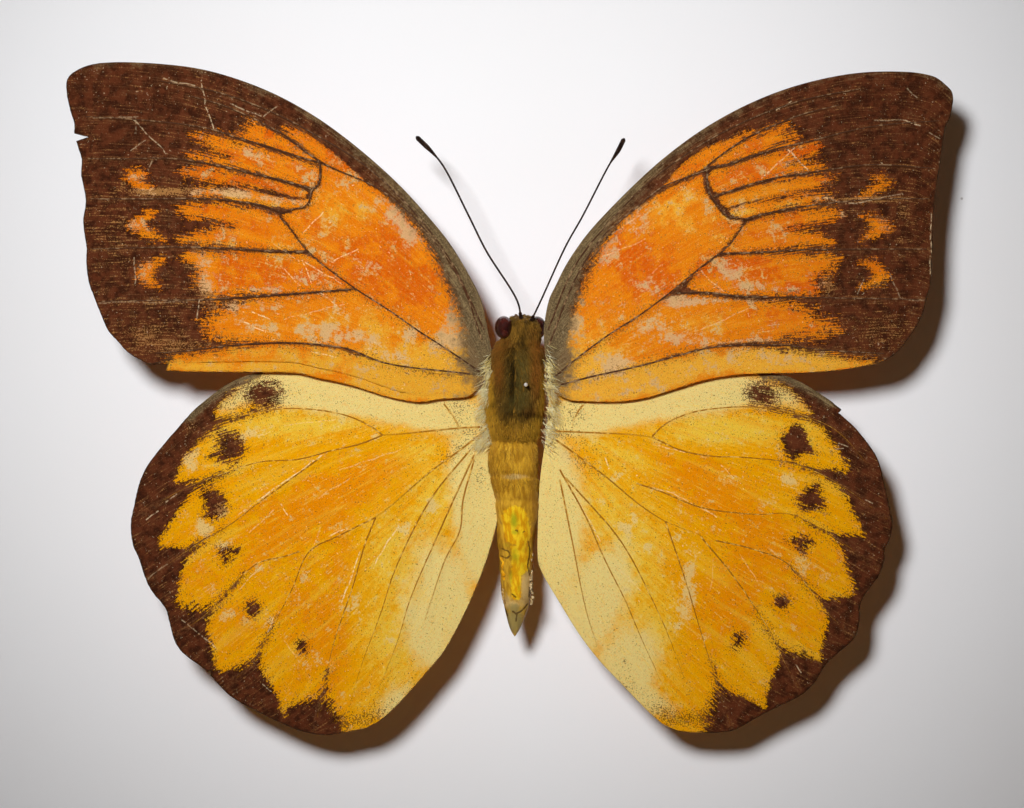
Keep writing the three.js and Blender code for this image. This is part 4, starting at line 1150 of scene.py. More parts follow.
def wing_sheet(name, edges, veins, lie, seed):
    """The skin of one wing, with its flat place, its lie and its distance from a vein kept for the finish."""
    front = smooth(flat(edges["front"]))
    back = smooth(flat(edges["back"]))
    outer, down = margin(edges["outer"], SPACING)
    columns = round(lengths(front)[-1] / SPACING)
    bm = bmesh.new()
    bmesh.ops.create_grid(bm, x_segments=columns, y_segments=len(outer) - 1, size=0.5)
    grid = np.array([v.co for v in bm.verts])
    out = grid[:, 0] + 0.5
    row = np.rint((grid[:, 1] + 0.5) * (len(outer) - 1)).astype(int)
    share = down[row][:, None]
    rng = np.random.default_rng(seed)
    ragged = outer + rng.normal(0, 0.012, outer.shape)
    bulge = ragged[row] - (outer[0] * (1 - share) + outer[-1] * share)
    spots = along(front, out) * (1 - share) + along(back, out) * share + bulge * out[:, None]
    from_vein = near_lines(spots, veins.values())
    height = wing_height(lie, out, down[row])
    height += VEIN_LIFT * np.exp(-((from_vein / VEIN_REACH) ** 2))
    for vert, co in zip(bm.verts, place(spots, height)):
        vert.co = co
    bm.normal_update()
    if sum(f.normal.y for f in bm.faces) > 0:
        bmesh.ops.reverse_faces(bm, faces=bm.faces)
    piece = new_piece(name, bm, smooth_below=None)
    piece.data.shade_smooth()
    layer = piece.data.uv_layers.new(name="OFBake")
    low, high = spots.min(0), spots.max(0)
    corner = np.zeros(len(piece.data.loops), int)
    piece.data.loops.foreach_get("vertex_index", corner)
    layout = 0.01 + 0.98 * (spots - low) / (high - low).max()
    layer.data.foreach_set("uv", layout[corner].ravel())
    skin = piece.modifiers.new("skin", "SOLIDIFY")
    skin.thickness = SKIN * MM
    skin.offset = 0
    return piece, spots, out, down[row], from_vein


def tell(piece, **values):
    """Keeps numbers on a mesh's points, under a name that a finish can ask for."""
    for name, value in values.items():
        attribute = piece.data.attributes.new(name, "FLOAT", "POINT")
        attribute.data.foreach_set("value", np.asarray(value, np.float32))


# %% [markdown]
# One finish serves all four wings. It starts from the main colour, warms and pales it by the soft patches,
# mottles it at three sizes, and lays the dark scales over it with a frayed edge. Rubbed places and
# scratches come last, as they do on the wing. Light from the lamp passes partly through, so the shadow on
# the card is warm.

# %% Wing colours
DARK_SCALE, DARK_DEEP = shade(94, 48, 28), shade(54, 27, 16)
DARK_PALE, DARK_WORN = shade(128, 84, 52), shade(184, 132, 74)
FLECK, SCRATCH = shade(214, 186, 146), shade(248, 220, 164)
COSTA_GREY, COSTA_PALE = shade(84, 70, 48), shade(142, 120, 84)
RIM_DARK = shade(58, 48, 34)
DARK_GLOW = shade(150, 90, 50)
THROUGH, THROUGH_BELOW = 0.13, 0.55
FORE_COLOURS = {
    "main": shade(230, 130, 12), "deep": shade(212, 90, 6), "pale": shade(230, 170, 48),
    "lemon": shade(236, 160, 34), "worn": shade(212, 178, 130), "light": shade(250, 182, 60),
    "glow": shade(255, 176, 84), "vein": shade(62, 36, 20), "line": 0.24, "line_strength": 0.9,
    "specks": 0.45, "blotches": 1.0, "pale_stir": 2.0,
}
HIND_COLOURS = {
    "main": shade(236, 166, 0), "deep": shade(232, 138, 0), "pale": shade(232, 212, 134),
    "lemon": shade(236, 196, 64), "worn": shade(228, 200, 130), "light": shade(252, 208, 60),
    "glow": shade(255, 196, 96), "vein": shade(168, 108, 18), "line": 0.16, "line_strength": 0.6,
    "specks": 0.2, "blotches": 0.35, "pale_stir": 0.9,
}
BROWNER = FORE_COLOURS | {
    "main": shade(228, 130, 14), "deep": shade(212, 88, 8), "pale": shade(234, 174, 54),
}


# %% Wing finish
def scratch_marks(finish, rows):
    """How much each place is scratched, from 0 to 1."""
    flat_here = finish.space("MULTIPLY", {0: finish.here, 1: (1, 0, 1)})
    wander = finish.add("ShaderNodeTexNoise", {"Vector": flat_here, "Scale": 0.5 / MM, "Detail": 1.0})
    shift = finish.space("SUBTRACT", {0: wander.outputs["Color"], 1: (0.5, 0.5, 0.5)})
    bent = finish.space("MULTIPLY_ADD", {0: shift, 1: (0.5 * MM, 0, 0.5 * MM), 2: flat_here})
    total = None
    for x0, y0, x1, y1, strength in rows:
        ends = flat([(x0, y0), (x1, y1)])
        start, end = (Vector((across * MM, 0, (CENTRE_Z + up) * MM)) for across, up in ends)
        step = end - start
        away = finish.space("SUBTRACT", {0: bent, 1: start})
        share = finish.space("DOT_PRODUCT", {0: away, 1: step / step.length_squared}, "Value")
        share = finish.add("ShaderNodeClamp", {"Value": share}).outputs[0]
        along_it = finish.space("SCALE", {0: step, 3: share})
        gap = finish.space("DISTANCE", {0: away, 1: along_it}, "Value")
        mark = finish.rise(gap, 0.10 * MM, 0.03 * MM, 0, strength)
        total = mark if total is None else finish.maths("MAXIMUM", total, mark)
    broken = finish.rise(finish.noise(3.2, 2, at=flat_here), 0.38, 0.58)
    return finish.times(total, broken)


def wing_finish(name, colours, scratches):
    finish = Finish(name)
    lie = finish.told("lie", "Vector")
    grain = finish.noise(3.2, 3, 0.75)
    fine = finish.noise(7.0, 1, 0.5)
    mottle = finish.noise(1.1, 3, 0.65)
    streak = finish.add("ShaderNodeTexNoise", {"Vector": lie, "Scale": 1.0, "Detail": 3.0}).outputs["Fac"]
    hatch = finish.add("ShaderNodeTexNoise", {"Vector": lie, "Scale": 5.0, "Detail": 2.0}).outputs["Fac"]
    stir = finish.times(mottle, 0.5, finish.times(grain, 0.4))
    stir = finish.maths("SUBTRACT", finish.times(hatch, 0.2, stir), 0.55)
    blotch = finish.maths("SUBTRACT", finish.noise(0.45, 4, 0.62), 0.5)
    from_vein = finish.told("vein")

    def patched(key, stirring, blotching):
        """How much there is of a soft patch, broken up into blotches and scales."""
        stirred = finish.times(stir, stirring, finish.told(key))
        return finish.times(blotch, blotching * colours["blotches"], stirred)

    colour = colours["main"]
    for value, low, high, most, tint in (
        (patched("deep", 3.0, 5.0), 0.0, 0.8, 1, "deep"),
        (patched("lemon", 2.5, 2.0), 0.1, 0.9, 1, "lemon"),
        (streak, 0.52, 0.34, 0.35, "deep"),
        (streak, 0.52, 0.68, 0.35, "lemon"),
        (patched("pale", colours["pale_stir"], 2.5), 0.1, 0.8, 1, "pale"),
        (hatch, 0.54, 0.7, 0.35, "light"),
        (fine, 0.44, 0.34, 0.4, "deep"),
        (fine, 0.56, 0.68, colours["specks"], "light"),
        (grain, 0.60, 0.70, colours["specks"], "worn"),
        (patched("worn", 4.5, 3.0), 0.3, 0.85, 0.8, "worn"),
    ):
        colour = finish.lay(colour, colours[tint], value, low, high, most)

    beside_vein = finish.times(finish.rise(from_vein, 0.10, 0.22), finish.rise(from_vein, 0.55, 0.3))
    strokes = finish.times(hatch, 0.5, finish.times(fine, 0.5))
    rubbed = finish.times(finish.told("worn"), 0.14, strokes)
    dark = finish.lay(DARK_DEEP, DARK_SCALE, mottle, 0.38, 0.62)
    dark = finish.lay(dark, DARK_PALE, hatch, 0.52, 0.68, 0.4)
    dark = finish.lay(dark, DARK_PALE, fine, 0.58, 0.70, 0.35)
    dark = finish.blend(finish.times(beside_vein, finish.rise(grain, 0.45, 0.6, 0, 0.5)), dark, DARK_PALE)
    dark = finish.lay(dark, DARK_WORN, rubbed, 0.60, 0.70, 0.75)

    ragged = finish.times(grain, 0.5, finish.times(hatch, 0.5, -0.5))
    fray = finish.times(finish.told("fray"), 8.0, 1.5)
    is_dark = finish.rise(finish.times(ragged, fray, finish.told("dark")), -0.09, 0.09)
    # Dark sprinkled thinly where the patches say so, and just outside the dark marks.
    near = finish.rise(finish.told("dark"), -1.3, 0.0, 0, 0.1)
    dark_sprinkle = finish.maths("ADD", finish.times(finish.told("dark_sprinkle"), 0.2, fine), near)
    is_dark = finish.maths("MAXIMUM", is_dark, finish.rise(dark_sprinkle, 0.64, 0.72, 0, 0.8))
    colour = finish.blend(is_dark, colour, dark)
    line, strength = colours["line"], colours["line_strength"]
    colour = finish.lay(colour, colours["vein"], from_vein, line, line * 0.55, strength)

    streaky = finish.times(hatch, 0.6, finish.times(fine, 0.4))
    grey = finish.lay(COSTA_GREY, COSTA_PALE, streaky, 0.42, 0.62)
    colour = finish.lay(colour, grey, patched("costa", 2.0, 1.0), 0.15, 0.9)
    colour = finish.lay(colour, RIM_DARK, finish.told("rim"), 0.18, 0.05, 0.6)

    flecks = finish.rise(finish.noise(4.2, 2, 0.5), 0.69, 0.75, 0, 0.7)
    marked = finish.maths("MAXIMUM", scratch_marks(finish, scratches), flecks)
    colour = finish.blend(marked, colour, finish.blend(is_dark, SCRATCH, FLECK))

    normal = finish.relief(fine, 0.03, 0.6, finish.relief(mottle, 0.06, 0.5))
    front = finish.surface(colour, 0.7, normal, Specular_IOR_Level=0.06)
    glow = finish.blend(is_dark, colours["glow"], DARK_GLOW)
    through = finish.add("ShaderNodeBsdfTranslucent", {"Color": glow}).outputs[0]
    mixed = finish.add("ShaderNodeMixShader", {0: THROUGH, 1: front, 2: through}, name="through_skin")
    return finish.done(mixed.outputs[0])


def underside(finish):
    """The same scales seen from below, where the skin is thinner and lets more light through."""
    below = finish.copy()
    below.name = finish.name + "_underside"
    below.node_tree.nodes["through_skin"].inputs[0].default_value = THROUGH_BELOW
    return below


# %% [markdown]
# The veins are made as thin tubes laid on the sheet. A curve with a round bevel and a radius at each point
# is the quickest way to a tapering tube; it becomes a mesh at once, so that its place is in its mesh.

# %% Tubes from curves
def tube_mesh(name, paths, material, sides=2):
    """One mesh of many tapering tubes; each path is its places in metres and its radii in millimetres."""
    curve = bpy.data.curves.new(name, "CURVE")
    curve.dimensions = "3D"
    curve.bevel_depth = MM
    curve.bevel_resolution = sides
    curve.use_fill_caps = True
    for places, radii in paths:
        spline = curve.splines.new("POLY")
        spline.points.add(len(places) - 1)
        for point, where, radius in zip(spline.points, places, radii):
            point.co = (*where, 1)
            point.radius = radius
    holder = bpy.data.objects.new(name + "_curve", curve)
    scene.collection.objects.link(holder)
    bpy.context.view_layer.update()
    mesh = bpy.data.meshes.new_from_object(holder.evaluated_get(bpy.context.evaluated_depsgraph_get()))
    bpy.data.objects.remove(holder)
    mesh.name = name
    mesh.materials.clear()
    mesh.materials.append(material)
    mesh.shade_smooth()
    piece = bpy.data.objects.new(name, mesh)
    scene.collection.objects.link(piece)
    return piece


def vein_paths(sheet, veins, root_radius, tip_radius):
    bm = bmesh.new()
    bm.from_mesh(sheet.data)
    tree = BVHTree.FromBMesh(bm)
    bm.free()
    paths = []
    for line in veins.values():
        line = smooth(flat(line))
        steps = max(6, round(lengths(line)[-1] / 0.4))
        spots = along(line, np.linspace(0, 1, steps + 1))
        laid = []
        for where in place(spots, WING_HEIGHT):
            hit = tree.ray_cast(Vector((where[0], -0.1, where[2])), Vector((0, 1, 0)))[0]
            if hit is not None:
                laid.append(hit)
        radii = np.linspace(root_radius, tip_radius, len(laid))
        radii[-1] *= 0.4
        paths.append((laid, radii))
    return [path for path in paths if len(path[0]) > 2]


def vein_finish(name, colour, pale_colour):
    finish = Finish(name)
    worn = finish.noise(1.6, 3, 0.6)
    colour = finish.lay(colour, pale_colour, worn, 0.48, 0.66)
    normal = finish.relief(finish.noise(6, 2), 0.03, 0.5)
    return finish.done(finish.surface(colour, 0.55, normal, Specular_IOR_Level=0.3))


fore_vein = vein_finish("fore_vein", shade(76, 46, 28), shade(150, 118, 84))
hind_vein = vein_finish("hind_vein", shade(160, 104, 22), shade(224, 178, 84))

# %% [markdown]
# With the outlines, marks and patches in hand, a wing is one row of a table. The leading edge is edged in
# olive grey, more so near the body, and a thin dark rim follows the outer margin. On a forewing the marks
# are the bright cells and on a hindwing the dark ones, so the distance changes its sign.

# %% Make the four wings
SHRINK = 0.06
BARS_END = 27.0
SOFT_KINDS = ("deep", "pale", "lemon", "worn", "fray", "dark_sprinkle")
PATTERN_SPAN, PATTERN_DEPTH = 4.0, 46.0
LIES = {"forewings": FOREWING_LIE, "hindwings": HINDWING_LIE}
VEIN_LOOKS = {"forewings": (0.12, 0.08, fore_vein), "hindwings": (0.11, 0.055, hind_vein)}


def soft_costa(front, out, slot):
    """How olive grey the leading edge is: a band that widens and spreads towards the body."""
    if slot == "hindwings":
        return 0.9 * np.exp(-((front / 0.9) ** 2)) * (out > 0.72)
    near_body = np.exp(-((out / 0.42) ** 2))
    width = 0.6 + 2.3 * near_body
    return (0.4 + 0.8 * near_body) * np.exp(-((front / width) ** 2)) + 0.6 * np.exp(-((out / 0.12) ** 2))


def make_wing(name, slot, colours, seed, edges, veins, marks, soft, scratches):
    finish = wing_finish(name, colours, scratches)
    piece, spots, out, down, from_vein = wing_sheet(name + "_skin", edges, veins, LIES[slot], seed)
    values = {kind: patches(spots, soft.get(kind, ())) for kind in SOFT_KINDS}
    values["costa"] = soft_costa(near_lines(spots, [edges["front"]]), out, slot)
    values["rim"] = near_lines(spots, edges["outer"])
    values["vein"] = from_vein + 0.10 * out
    in_marks = inside_any(spots, marks)
    if slot == "forewings":
        towards_body = np.clip((0.62 - out) / 0.35, 0, 1)
        values["dark"] = -in_marks - SHRINK - 0.20 * towards_body
        values["vein"] += 0.11 * towards_body
        values["fray"] += 0.55 * np.clip((np.abs(spots[:, 0]) - BARS_END) / 3, 0, 1)
    else:
        values["dark"] = in_marks - SHRINK
        values["fray"] += 0.22
    tell(piece, **values)
    pattern = np.stack([out * PATTERN_SPAN, down * PATTERN_DEPTH, np.full(len(out), float(seed))], 1)
    lie = piece.data.attributes.new("lie", "FLOAT_VECTOR", "POINT")
    lie.data.foreach_set("vector", pattern.astype(np.float32).ravel())
    piece.data.materials.append(finish)
    piece.data.materials.append(underside(finish))
    piece.modifiers["skin"].material_offset = 1
    give(piece, slot, name)
    root_radius, tip_radius, look = VEIN_LOOKS[slot]
    give(tube_mesh(name + "_veins", vein_paths(piece, veins, root_radius, tip_radius), look), slot)


for row in (
    ("forewing_left", "forewings", FORE_COLOURS, 11,
     FORE_LEFT, FORE_LEFT_VEINS, FORE_LEFT_BRIGHT, FORE_LEFT_SOFT, FORE_LEFT_SCRATCHES),
    ("forewing_right", "forewings", BROWNER, 12,
     FORE_RIGHT, FORE_RIGHT_VEINS, FORE_RIGHT_BRIGHT, FORE_RIGHT_SOFT, FORE_RIGHT_SCRATCHES),
    ("hindwing_left", "hindwings", HIND_COLOURS, 13,
     HIND_LEFT, HIND_LEFT_VEINS, HIND_LEFT_DARK, HIND_LEFT_SOFT, HIND_LEFT_SCRATCHES),
    ("hindwing_right", "hindwings", HIND_COLOURS, 14,
     HIND_RIGHT, HIND_RIGHT_VEINS, HIND_RIGHT_DARK, HIND_RIGHT_SOFT, HIND_RIGHT_SCRATCHES),
):
    make_wing(*row)

# %% [markdown]
# The body is a row of lumps: head, thorax and abdomen. Each is lofted through oval sections measured along
# it, from a flat grid that is rolled up and closed at both ends. The stations give the height on the
# photograph, the middle, and the half width and half depth, all in millimetres.

# %% Lumps
HEAD = [
    (9.7, 1.1, 10.6, 0, 0), (9.4, 1.1, 10.6, 1.3, 1.4), (8.5, 1.35, 10.6, 1.75, 2.0),
    (7.4, 1.15, 10.5, 2.0, 1.9), (6.6, 0.65, 10.4, 2.4, 2.0), (5.4, 0.5, 10.3, 2.2, 1.8),
    (5.2, 0.5, 10.3, 0, 0),
]
THORAX = [
    (6.6, 0.6, 10.3, 0, 0), (6.3, 0.6, 10.3, 2.0, 1.8), (5.7, 0.55, 10.3, 2.7, 2.3),
    (4.6, 0.45, 10.2, 2.9, 2.7), (2.2, 0.3, 10.2, 3.1, 3.2), (0, 0.25, 10.1, 3.1, 3.1),
    (-2, 0.2, 10, 2.9, 2.8), (-3.4, 0.2, 9.9, 2.6, 2.5), (-4.1, 0.2, 9.9, 1.9, 2.0), (-4.3, 0.2, 9.9, 0, 0),
]
ABDOMEN = [
    (-2, 0.2, 9.8, 0, 0), (-2.3, 0.2, 9.8, 1.5, 1.4), (-4.5, 0.1, 9.7, 2.55, 2.3),
    (-6.5, 0.1, 9.6, 2.7, 2.6), (-9, 0.35, 9.4, 2.6, 2.6), (-12, 0.55, 9.2, 2.4, 2.5),
    (-15, 0.45, 9.0, 2.05, 2.2), (-18.5, 0.45, 8.75, 1.8, 1.8), (-21.5, 0.5, 8.6, 1.55, 1.5),
    (-23.4, 0.42, 8.5, 1.05, 1.0), (-25, 0.32, 8.4, 0.45, 0.5), (-25.7, 0.3, 8.4, 0, 0),
]
FOLDS = (-7.9, -10.6, -13.4, -16.2, -18.9, -21.8)


def stand(x, y, z):
    """Millimetres right of the middle, above it and off the card, to metres in the frame."""
    return np.stack(np.broadcast_arrays(x, CARD_Y - np.asarray(z), CENTRE_Z + np.asarray(y)), -1) * MM


def lump(stations, around, steps, swell=None):
    line = smooth(stations)
    bm = bmesh.new()
    bmesh.ops.create_grid(bm, x_segments=around, y_segments=steps, size=0.5)
    grid = np.array([v.co for v in bm.verts])[:, :2] + 0.5
    turn = grid[:, 0] * 2 * math.pi
    y, middle_x, middle_z, wide, tall = along(line, grid[:, 1]).T
    grow = 1.0 if swell is None else 1 + swell(turn, y)
    across = middle_x + np.maximum(wide, 0) * grow * np.cos(turn)
    spots = stand(across, y, middle_z + np.maximum(tall, 0) * grow * np.sin(turn))
    for vert, co in zip(bm.verts, spots):
        vert.co = co
    bmesh.ops.remove_doubles(bm, verts=bm.verts, dist=0.001 * MM)
    bmesh.ops.recalc_face_normals(bm, faces=bm.faces)
    return bm


def seen_at(places):
    """Where places in the frame fall on the photograph's plane, in flat millimetres."""
    return np.stack([places[:, 0] / MM, places[:, 2] / MM - CENTRE_Z], 1)


def folded(turn, y):
    """The soft creases between the rings of the abdomen, and a slight unevenness."""
    crease = sum(np.exp(-(((y - fold) / 0.35) ** 2)) for fold in FOLDS)
    return -0.045 * crease + 0.02 * np.sin(3 * turn + y) + 0.015 * np.sin(7 * turn - 2.3 * y)


# %% [markdown]
# Fur is thousands of short bent hairs. One hair is made and copied by arithmetic: each copy starts on the
# body, heads towards the tail, and droops onto the coat. Every hair carries its own shade.

# %% Fur
def one_hair():
    """The points of a thin three sided spike one long, and its faces."""
    bm = bmesh.new()
    bmesh.ops.create_cone(bm, cap_ends=True, segments=3, radius1=1, radius2=0.15, depth=1)
    bmesh.ops.translate(bm, verts=bm.verts, vec=(0, 0, 0.5))
    sides = [e for e in bm.edges if abs(e.verts[0].co.z - e.verts[1].co.z) > 0.5]
    bmesh.ops.subdivide_edges(bm, edges=sides, cuts=2)
    bmesh.ops.triangulate(bm, faces=bm.faces)
    points = np.array([v.co for v in bm.verts])
    faces = np.array([[v.index for v in f.verts] for f in bm.faces])
    bm.free()
    return points, faces


def unit(vectors):
    return vectors / np.maximum(np.linalg.norm(vectors, axis=1, keepdims=True), 1e-9)


def roots_on(bm, count, rng, keep):
    """Places spread evenly over part of a surface, and the way out of it at each."""
    faces = [f for f in bm.faces if keep(f.calc_center_median() / MM, f.normal)]
    areas = np.array([f.calc_area() for f in faces])
    spots, outward = [], []
    for pick in rng.choice(len(faces), count, p=areas / areas.sum()):
        corners = np.array([v.co for v in faces[pick].verts])
        spots.append(rng.dirichlet(np.ones(len(corners))) @ corners)
        outward.append(faces[pick].normal)
    return np.array(spots), np.array(outward)


def fur(name, slot, material, spots, outward, heading, rng, length, thickness, droop, soft=None):
    points, faces = one_hair()
    count = len(spots)
    heading = unit(heading + rng.normal(0, 0.16, heading.shape))
    side = unit(np.cross(heading, outward))
    lift = np.cross(side, heading)
    long = rng.uniform(length[0], length[1], count)[:, None, None] * MM
    thick = rng.uniform(thickness[0], thickness[1], count)[:, None, None] * MM
    run = points[None, :, 2, None]
    middle = spots[:, None] + heading[:, None] * run * long - outward[:, None] * droop * run**2 * long
    shape = points[None, :, 0, None] * side[:, None] + points[None, :, 1, None] * lift[:, None]
    places = middle + shape * thick
    mesh = bpy.data.meshes.new(name)
    all_faces = (faces[None] + np.arange(count)[:, None, None] * len(points)).reshape(-1, 3)
    mesh.from_pydata(places.reshape(-1, 3).tolist(), [], all_faces.tolist())
    mesh.materials.append(material)
    mesh.shade_smooth()
    piece = bpy.data.objects.new(name, mesh)
    scene.collection.objects.link(piece)
    values = {"tone": rng.uniform(0, 1, count)}
    values.update({key: patches(seen_at(spots), rows) for key, rows in (soft or {}).items()})
    tell(piece, **{key: np.repeat(value, len(points)) for key, value in values.items()})
    return give(piece, slot)


def hair_finish(name, colours):
    """Hair that runs from the first colour to the second by its own shade, tinted where patches say so."""
    finish = Finish(name)
    tone = finish.times(finish.noise(1.2, 2), 0.7, finish.times(finish.told("tone"), 0.6))
    colour = finish.lay(colours["low"], colours["high"], tone, 0.35, 0.95)
    for key in ("olive", "rust", "gold", "dark"):
        if key in colours:
            amount = finish.times(tone, 0.3, finish.told(key))
            colour = finish.lay(colour, colours[key], amount, 0.25, 1.1, 0.9)
    return finish.done(finish.surface(colour, 0.45, Specular_IOR_Level=0.35))


# %% [markdown]
# The coat of the thorax is olive down the middle, with a dark seam, and rusty gold at the sides. The same
# soft ovals that tint the wings tint the hairs here.

# %% Head and thorax
COAT = {
    "low": shade(84, 58, 22), "high": shade(160, 120, 52), "olive": shade(104, 92, 46),
    "rust": shade(146, 90, 34), "gold": shade(196, 148, 46), "dark": shade(38, 28, 12),
}
TAIL_COAT = {
    "low": shade(146, 102, 30), "high": shade(200, 152, 50), "gold": shade(214, 166, 60),
    "dark": shade(112, 80, 26),
}
COAT_SOFT = {
    "olive": [(518, 372, 12, 26, 1.0), (516, 402, 14, 14, 0.7), (509, 318, 8, 6, 0.5)],
    "rust": [
        (500, 368, 7, 24, 0.8), (536, 372, 8, 26, 0.9), (528, 410, 12, 6, 0.6), (508, 343, 10, 8, 0.6),
        (534, 345, 8, 8, 0.6), (533, 330, 8, 6, 0.4),
    ],
    "gold": [
        (490, 390, 5, 22, 1.0), (544, 390, 5, 24, 1.0), (492, 425, 6, 24, 1.2), (538, 430, 6, 22, 1.1),
        (514, 434, 26, 16, 1.1), (506, 326, 5, 8, 0.5), (515, 461, 18, 8, 0.7),
    ],
    "dark": [
        (513, 366, 3.2, 17, 1.2, 4), (512, 390, 2.6, 10, 0.9), (521, 341, 6, 8, 1.0),
        (524, 412, 17, 2.4, 1.5), (512, 411, 4, 4, 0.8), (530, 404, 3, 5, 0.7), (494, 402, 3, 4, 0.6),
        (508, 452, 7, 5, 0.6, 20), (521, 455, 5, 4, 0.5), (528, 320, 8, 4, 0.7), (540, 352, 5, 12, 0.5),
        (518, 424, 10, 4, 0.4),
    ],
}
coat = hair_finish("coat", COAT)
tail_coat = hair_finish("tail_coat", TAIL_COAT)
BODY_X = 0.4
TAILWARDS = np.array([0, 0, -1.0])
PARTING = 0.22
EYE_SPOT = (-0.9, 8.4)
EYE_CLEARANCE = 1.1


def coat_on(name, bm, count, seed, keep, length, lift, thickness=(0.02, 0.034), look=coat):
    """Lays a coat of hair over part of a lump, combed towards the tail and slightly to the sides."""
    rng = np.random.default_rng(seed)
    spots, outward = roots_on(bm, count, rng, keep)
    aside = np.sign(spots[:, 0] - BODY_X * MM) * PARTING
    combed = TAILWARDS + np.stack([aside, np.zeros(count), np.zeros(count)], 1)
    combed = unit(combed - outward * (combed * outward).sum(1)[:, None])
    fur(name, "body_hair", look, spots, outward, combed + outward * lift, rng, length, thickness,
        lift * 0.8, COAT_SOFT)


def shown(middle, normal):
    """Whether a face of a lump is one that the camera can see."""
    return normal.y < 0.25


def hidden(middle, normal):
    return not shown(middle, normal)


def clear_of_eye(middle, normal):
    across, up = EYE_SPOT
    return shown(middle, normal) and math.hypot(middle.x - across, middle.z - CENTRE_Z - up) > EYE_CLEARANCE


def skin_finish(name, low, high):
    finish = Finish(name)
    mottle = finish.noise(1.1, 3)
    colour = finish.lay(low, high, mottle, 0.35, 0.65)
    return finish.done(finish.surface(colour, 0.6, finish.relief(finish.noise(4, 3), 0.05)))


under_coat = skin_finish("under_coat", shade(70, 50, 18), shade(128, 92, 32))
head_lump = lump(HEAD, 48, 40)
thorax_lump = lump(THORAX, 64, 60)
coat_on("head_fur", head_lump, 2400, 21, clear_of_eye, (0.35, 0.7), 0.55)
coat_on("thorax_fur", thorax_lump, 8500, 22, shown, (0.7, 1.25), 0.30)
coat_on("side_fur", thorax_lump, 1500, 23, hidden, (0.5, 0.9), 0.3)
give(new_piece("head_skin", head_lump, under_coat), "body_hair", "head")
give(new_piece("thorax_skin", thorax_lump, under_coat), "body_hair", "thorax")

# %% [markdown]
# The eyes are dark red domes with a faint honeycomb. Antennae, legs, palps and the coiled tongue are
# tapering tubes along measured points. An antenna is a chain of short links that thickens to a club.

# %% Eyes
def eye_finish():
    finish = Finish("eye")
    colour = finish.lay(shade(36, 14, 14), shade(74, 30, 24), finish.noise(0.9, 2), 0.35, 0.65)
    normal = finish.relief(finish.cells(14), 0.015, 0.4)
    return finish.done(finish.surface(colour, 0.22, normal, Coat_Weight=0.6, Coat_Roughness=0.12))


eye_look = eye_finish()
for side in ("left", "right"):
    low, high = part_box("eye_" + side)
    bm = bmesh.new()
    fit = Matrix.LocRotScale((low + high) / 2, None, high - low)
    bmesh.ops.create_icosphere(bm, subdivisions=5, radius=0.5, matrix=fit)
    give(new_piece(f"eye_{side}_dome", bm, eye_look), "eyes", "eye_" + side)

# %% Antennae, legs, palps and tongue
ANTENNAE = {
    "left": [
        (1, 9.3, 12.1), (0.6, 11.2, 12.4), (-2.8, 16.7, 12.7), (-4.7, 20.5, 12.7), (-7.5, 26, 12.2),
        (-8.6, 27.4, 12), (-10.5, 29.3, 11.6),
    ],
    "right": [
        (2.1, 9.1, 11.9), (3.2, 11.4, 12.4), (5.9, 17.3, 12.7), (7.7, 20.5, 12.7), (10.6, 26.1, 12.2),
        (11.6, 27.7, 12), (12.3, 29.1, 11.6),
    ],
}
LEGS = [
    [(1.2, 4.4, 8.6), (2.8, 6, 6.6), (2.4, 3.4, 4.8), (2.5, 0.8, 4.2)],
    [(1.4, 2, 8.2), (3.2, 2.6, 5.9), (2, -0.6, 4.3), (1.3, -3.4, 3.9)],
    [(1.4, -0.4, 8.2), (3.4, -1.2, 5.7), (2.2, -4.4, 4.2), (1.5, -7.6, 3.6)],
]
PALPS = [
    [(0.45, 8.7, 9.4), (0.4, 9.4, 9.5), (0.45, 9.8, 9.8)],
    [(1.35, 8.7, 9.4), (1.4, 9.4, 9.5), (1.35, 9.8, 9.8)],
]
SHAFT, CLUB, SCAPE = 0.11, 0.28, 0.20
CLUB_STARTS, CLUB_FULL, SCAPE_ENDS = 0.86, 0.93, 0.03
LINK = 0.34
PLACES_TO_A_LINK = 4
TONGUE_TURNS = 24


def horn_finish(name, colour, pale):
    finish = Finish(name)
    mixed = finish.lay(colour, pale, finish.noise(1.5, 2), 0.45, 0.7, 0.6)
    return finish.done(finish.surface(mixed, 0.35, finish.relief(finish.noise(7, 2), 0.02)))


def antenna(side):
    line = smooth(ANTENNAE[side])
    steps = round(lengths(line)[-1] / LINK * PLACES_TO_A_LINK)
    share = np.linspace(0, 1, steps + 1)
    spots = along(line, share)
    radii = np.interp(share, (CLUB_STARTS, CLUB_FULL), (SHAFT, CLUB))
    radii[share < SCAPE_ENDS] = SCAPE
    radii[::PLACES_TO_A_LINK] *= 0.90
    radii[-3:] *= (0.85, 0.6, 0.3)
    piece = tube_mesh(f"antenna_{side}_links", [(stand(*spots.T), radii)], antenna_look)
    return give(piece, "antennae", "antenna_" + side)


def limb(points, start, end):
    line = smooth(points)
    spots = along(line, np.linspace(0, 1, 40))
    return stand(*spots.T), np.linspace(start, end, 40)


antenna_look = horn_finish("antenna", shade(30, 18, 14), shade(66, 44, 30))
leg_look = horn_finish("leg", shade(96, 66, 34), shade(160, 124, 76))
antenna("left")
antenna("right")
mirrored = [[(2 * BODY_X - x, y, z) for x, y, z in leg] for leg in LEGS]
give(tube_mesh("legs", [limb(leg, 0.32, 0.13) for leg in LEGS + mirrored], leg_look), "body_hair")
give(tube_mesh("palps", [limb(palp, 0.4, 0.18) for palp in PALPS], leg_look), "body_hair")
coil = [(0.9, 8.9 + (0.7 - 0.025 * n) * math.cos(n * 0.6), 8.3 + (0.7 - 0.025 * n) * math.sin(n * 0.6))
        for n in range(TONGUE_TURNS)]
give(tube_mesh("tongue", [limb(coil, 0.15, 0.08)], leg_look), "body_hair")
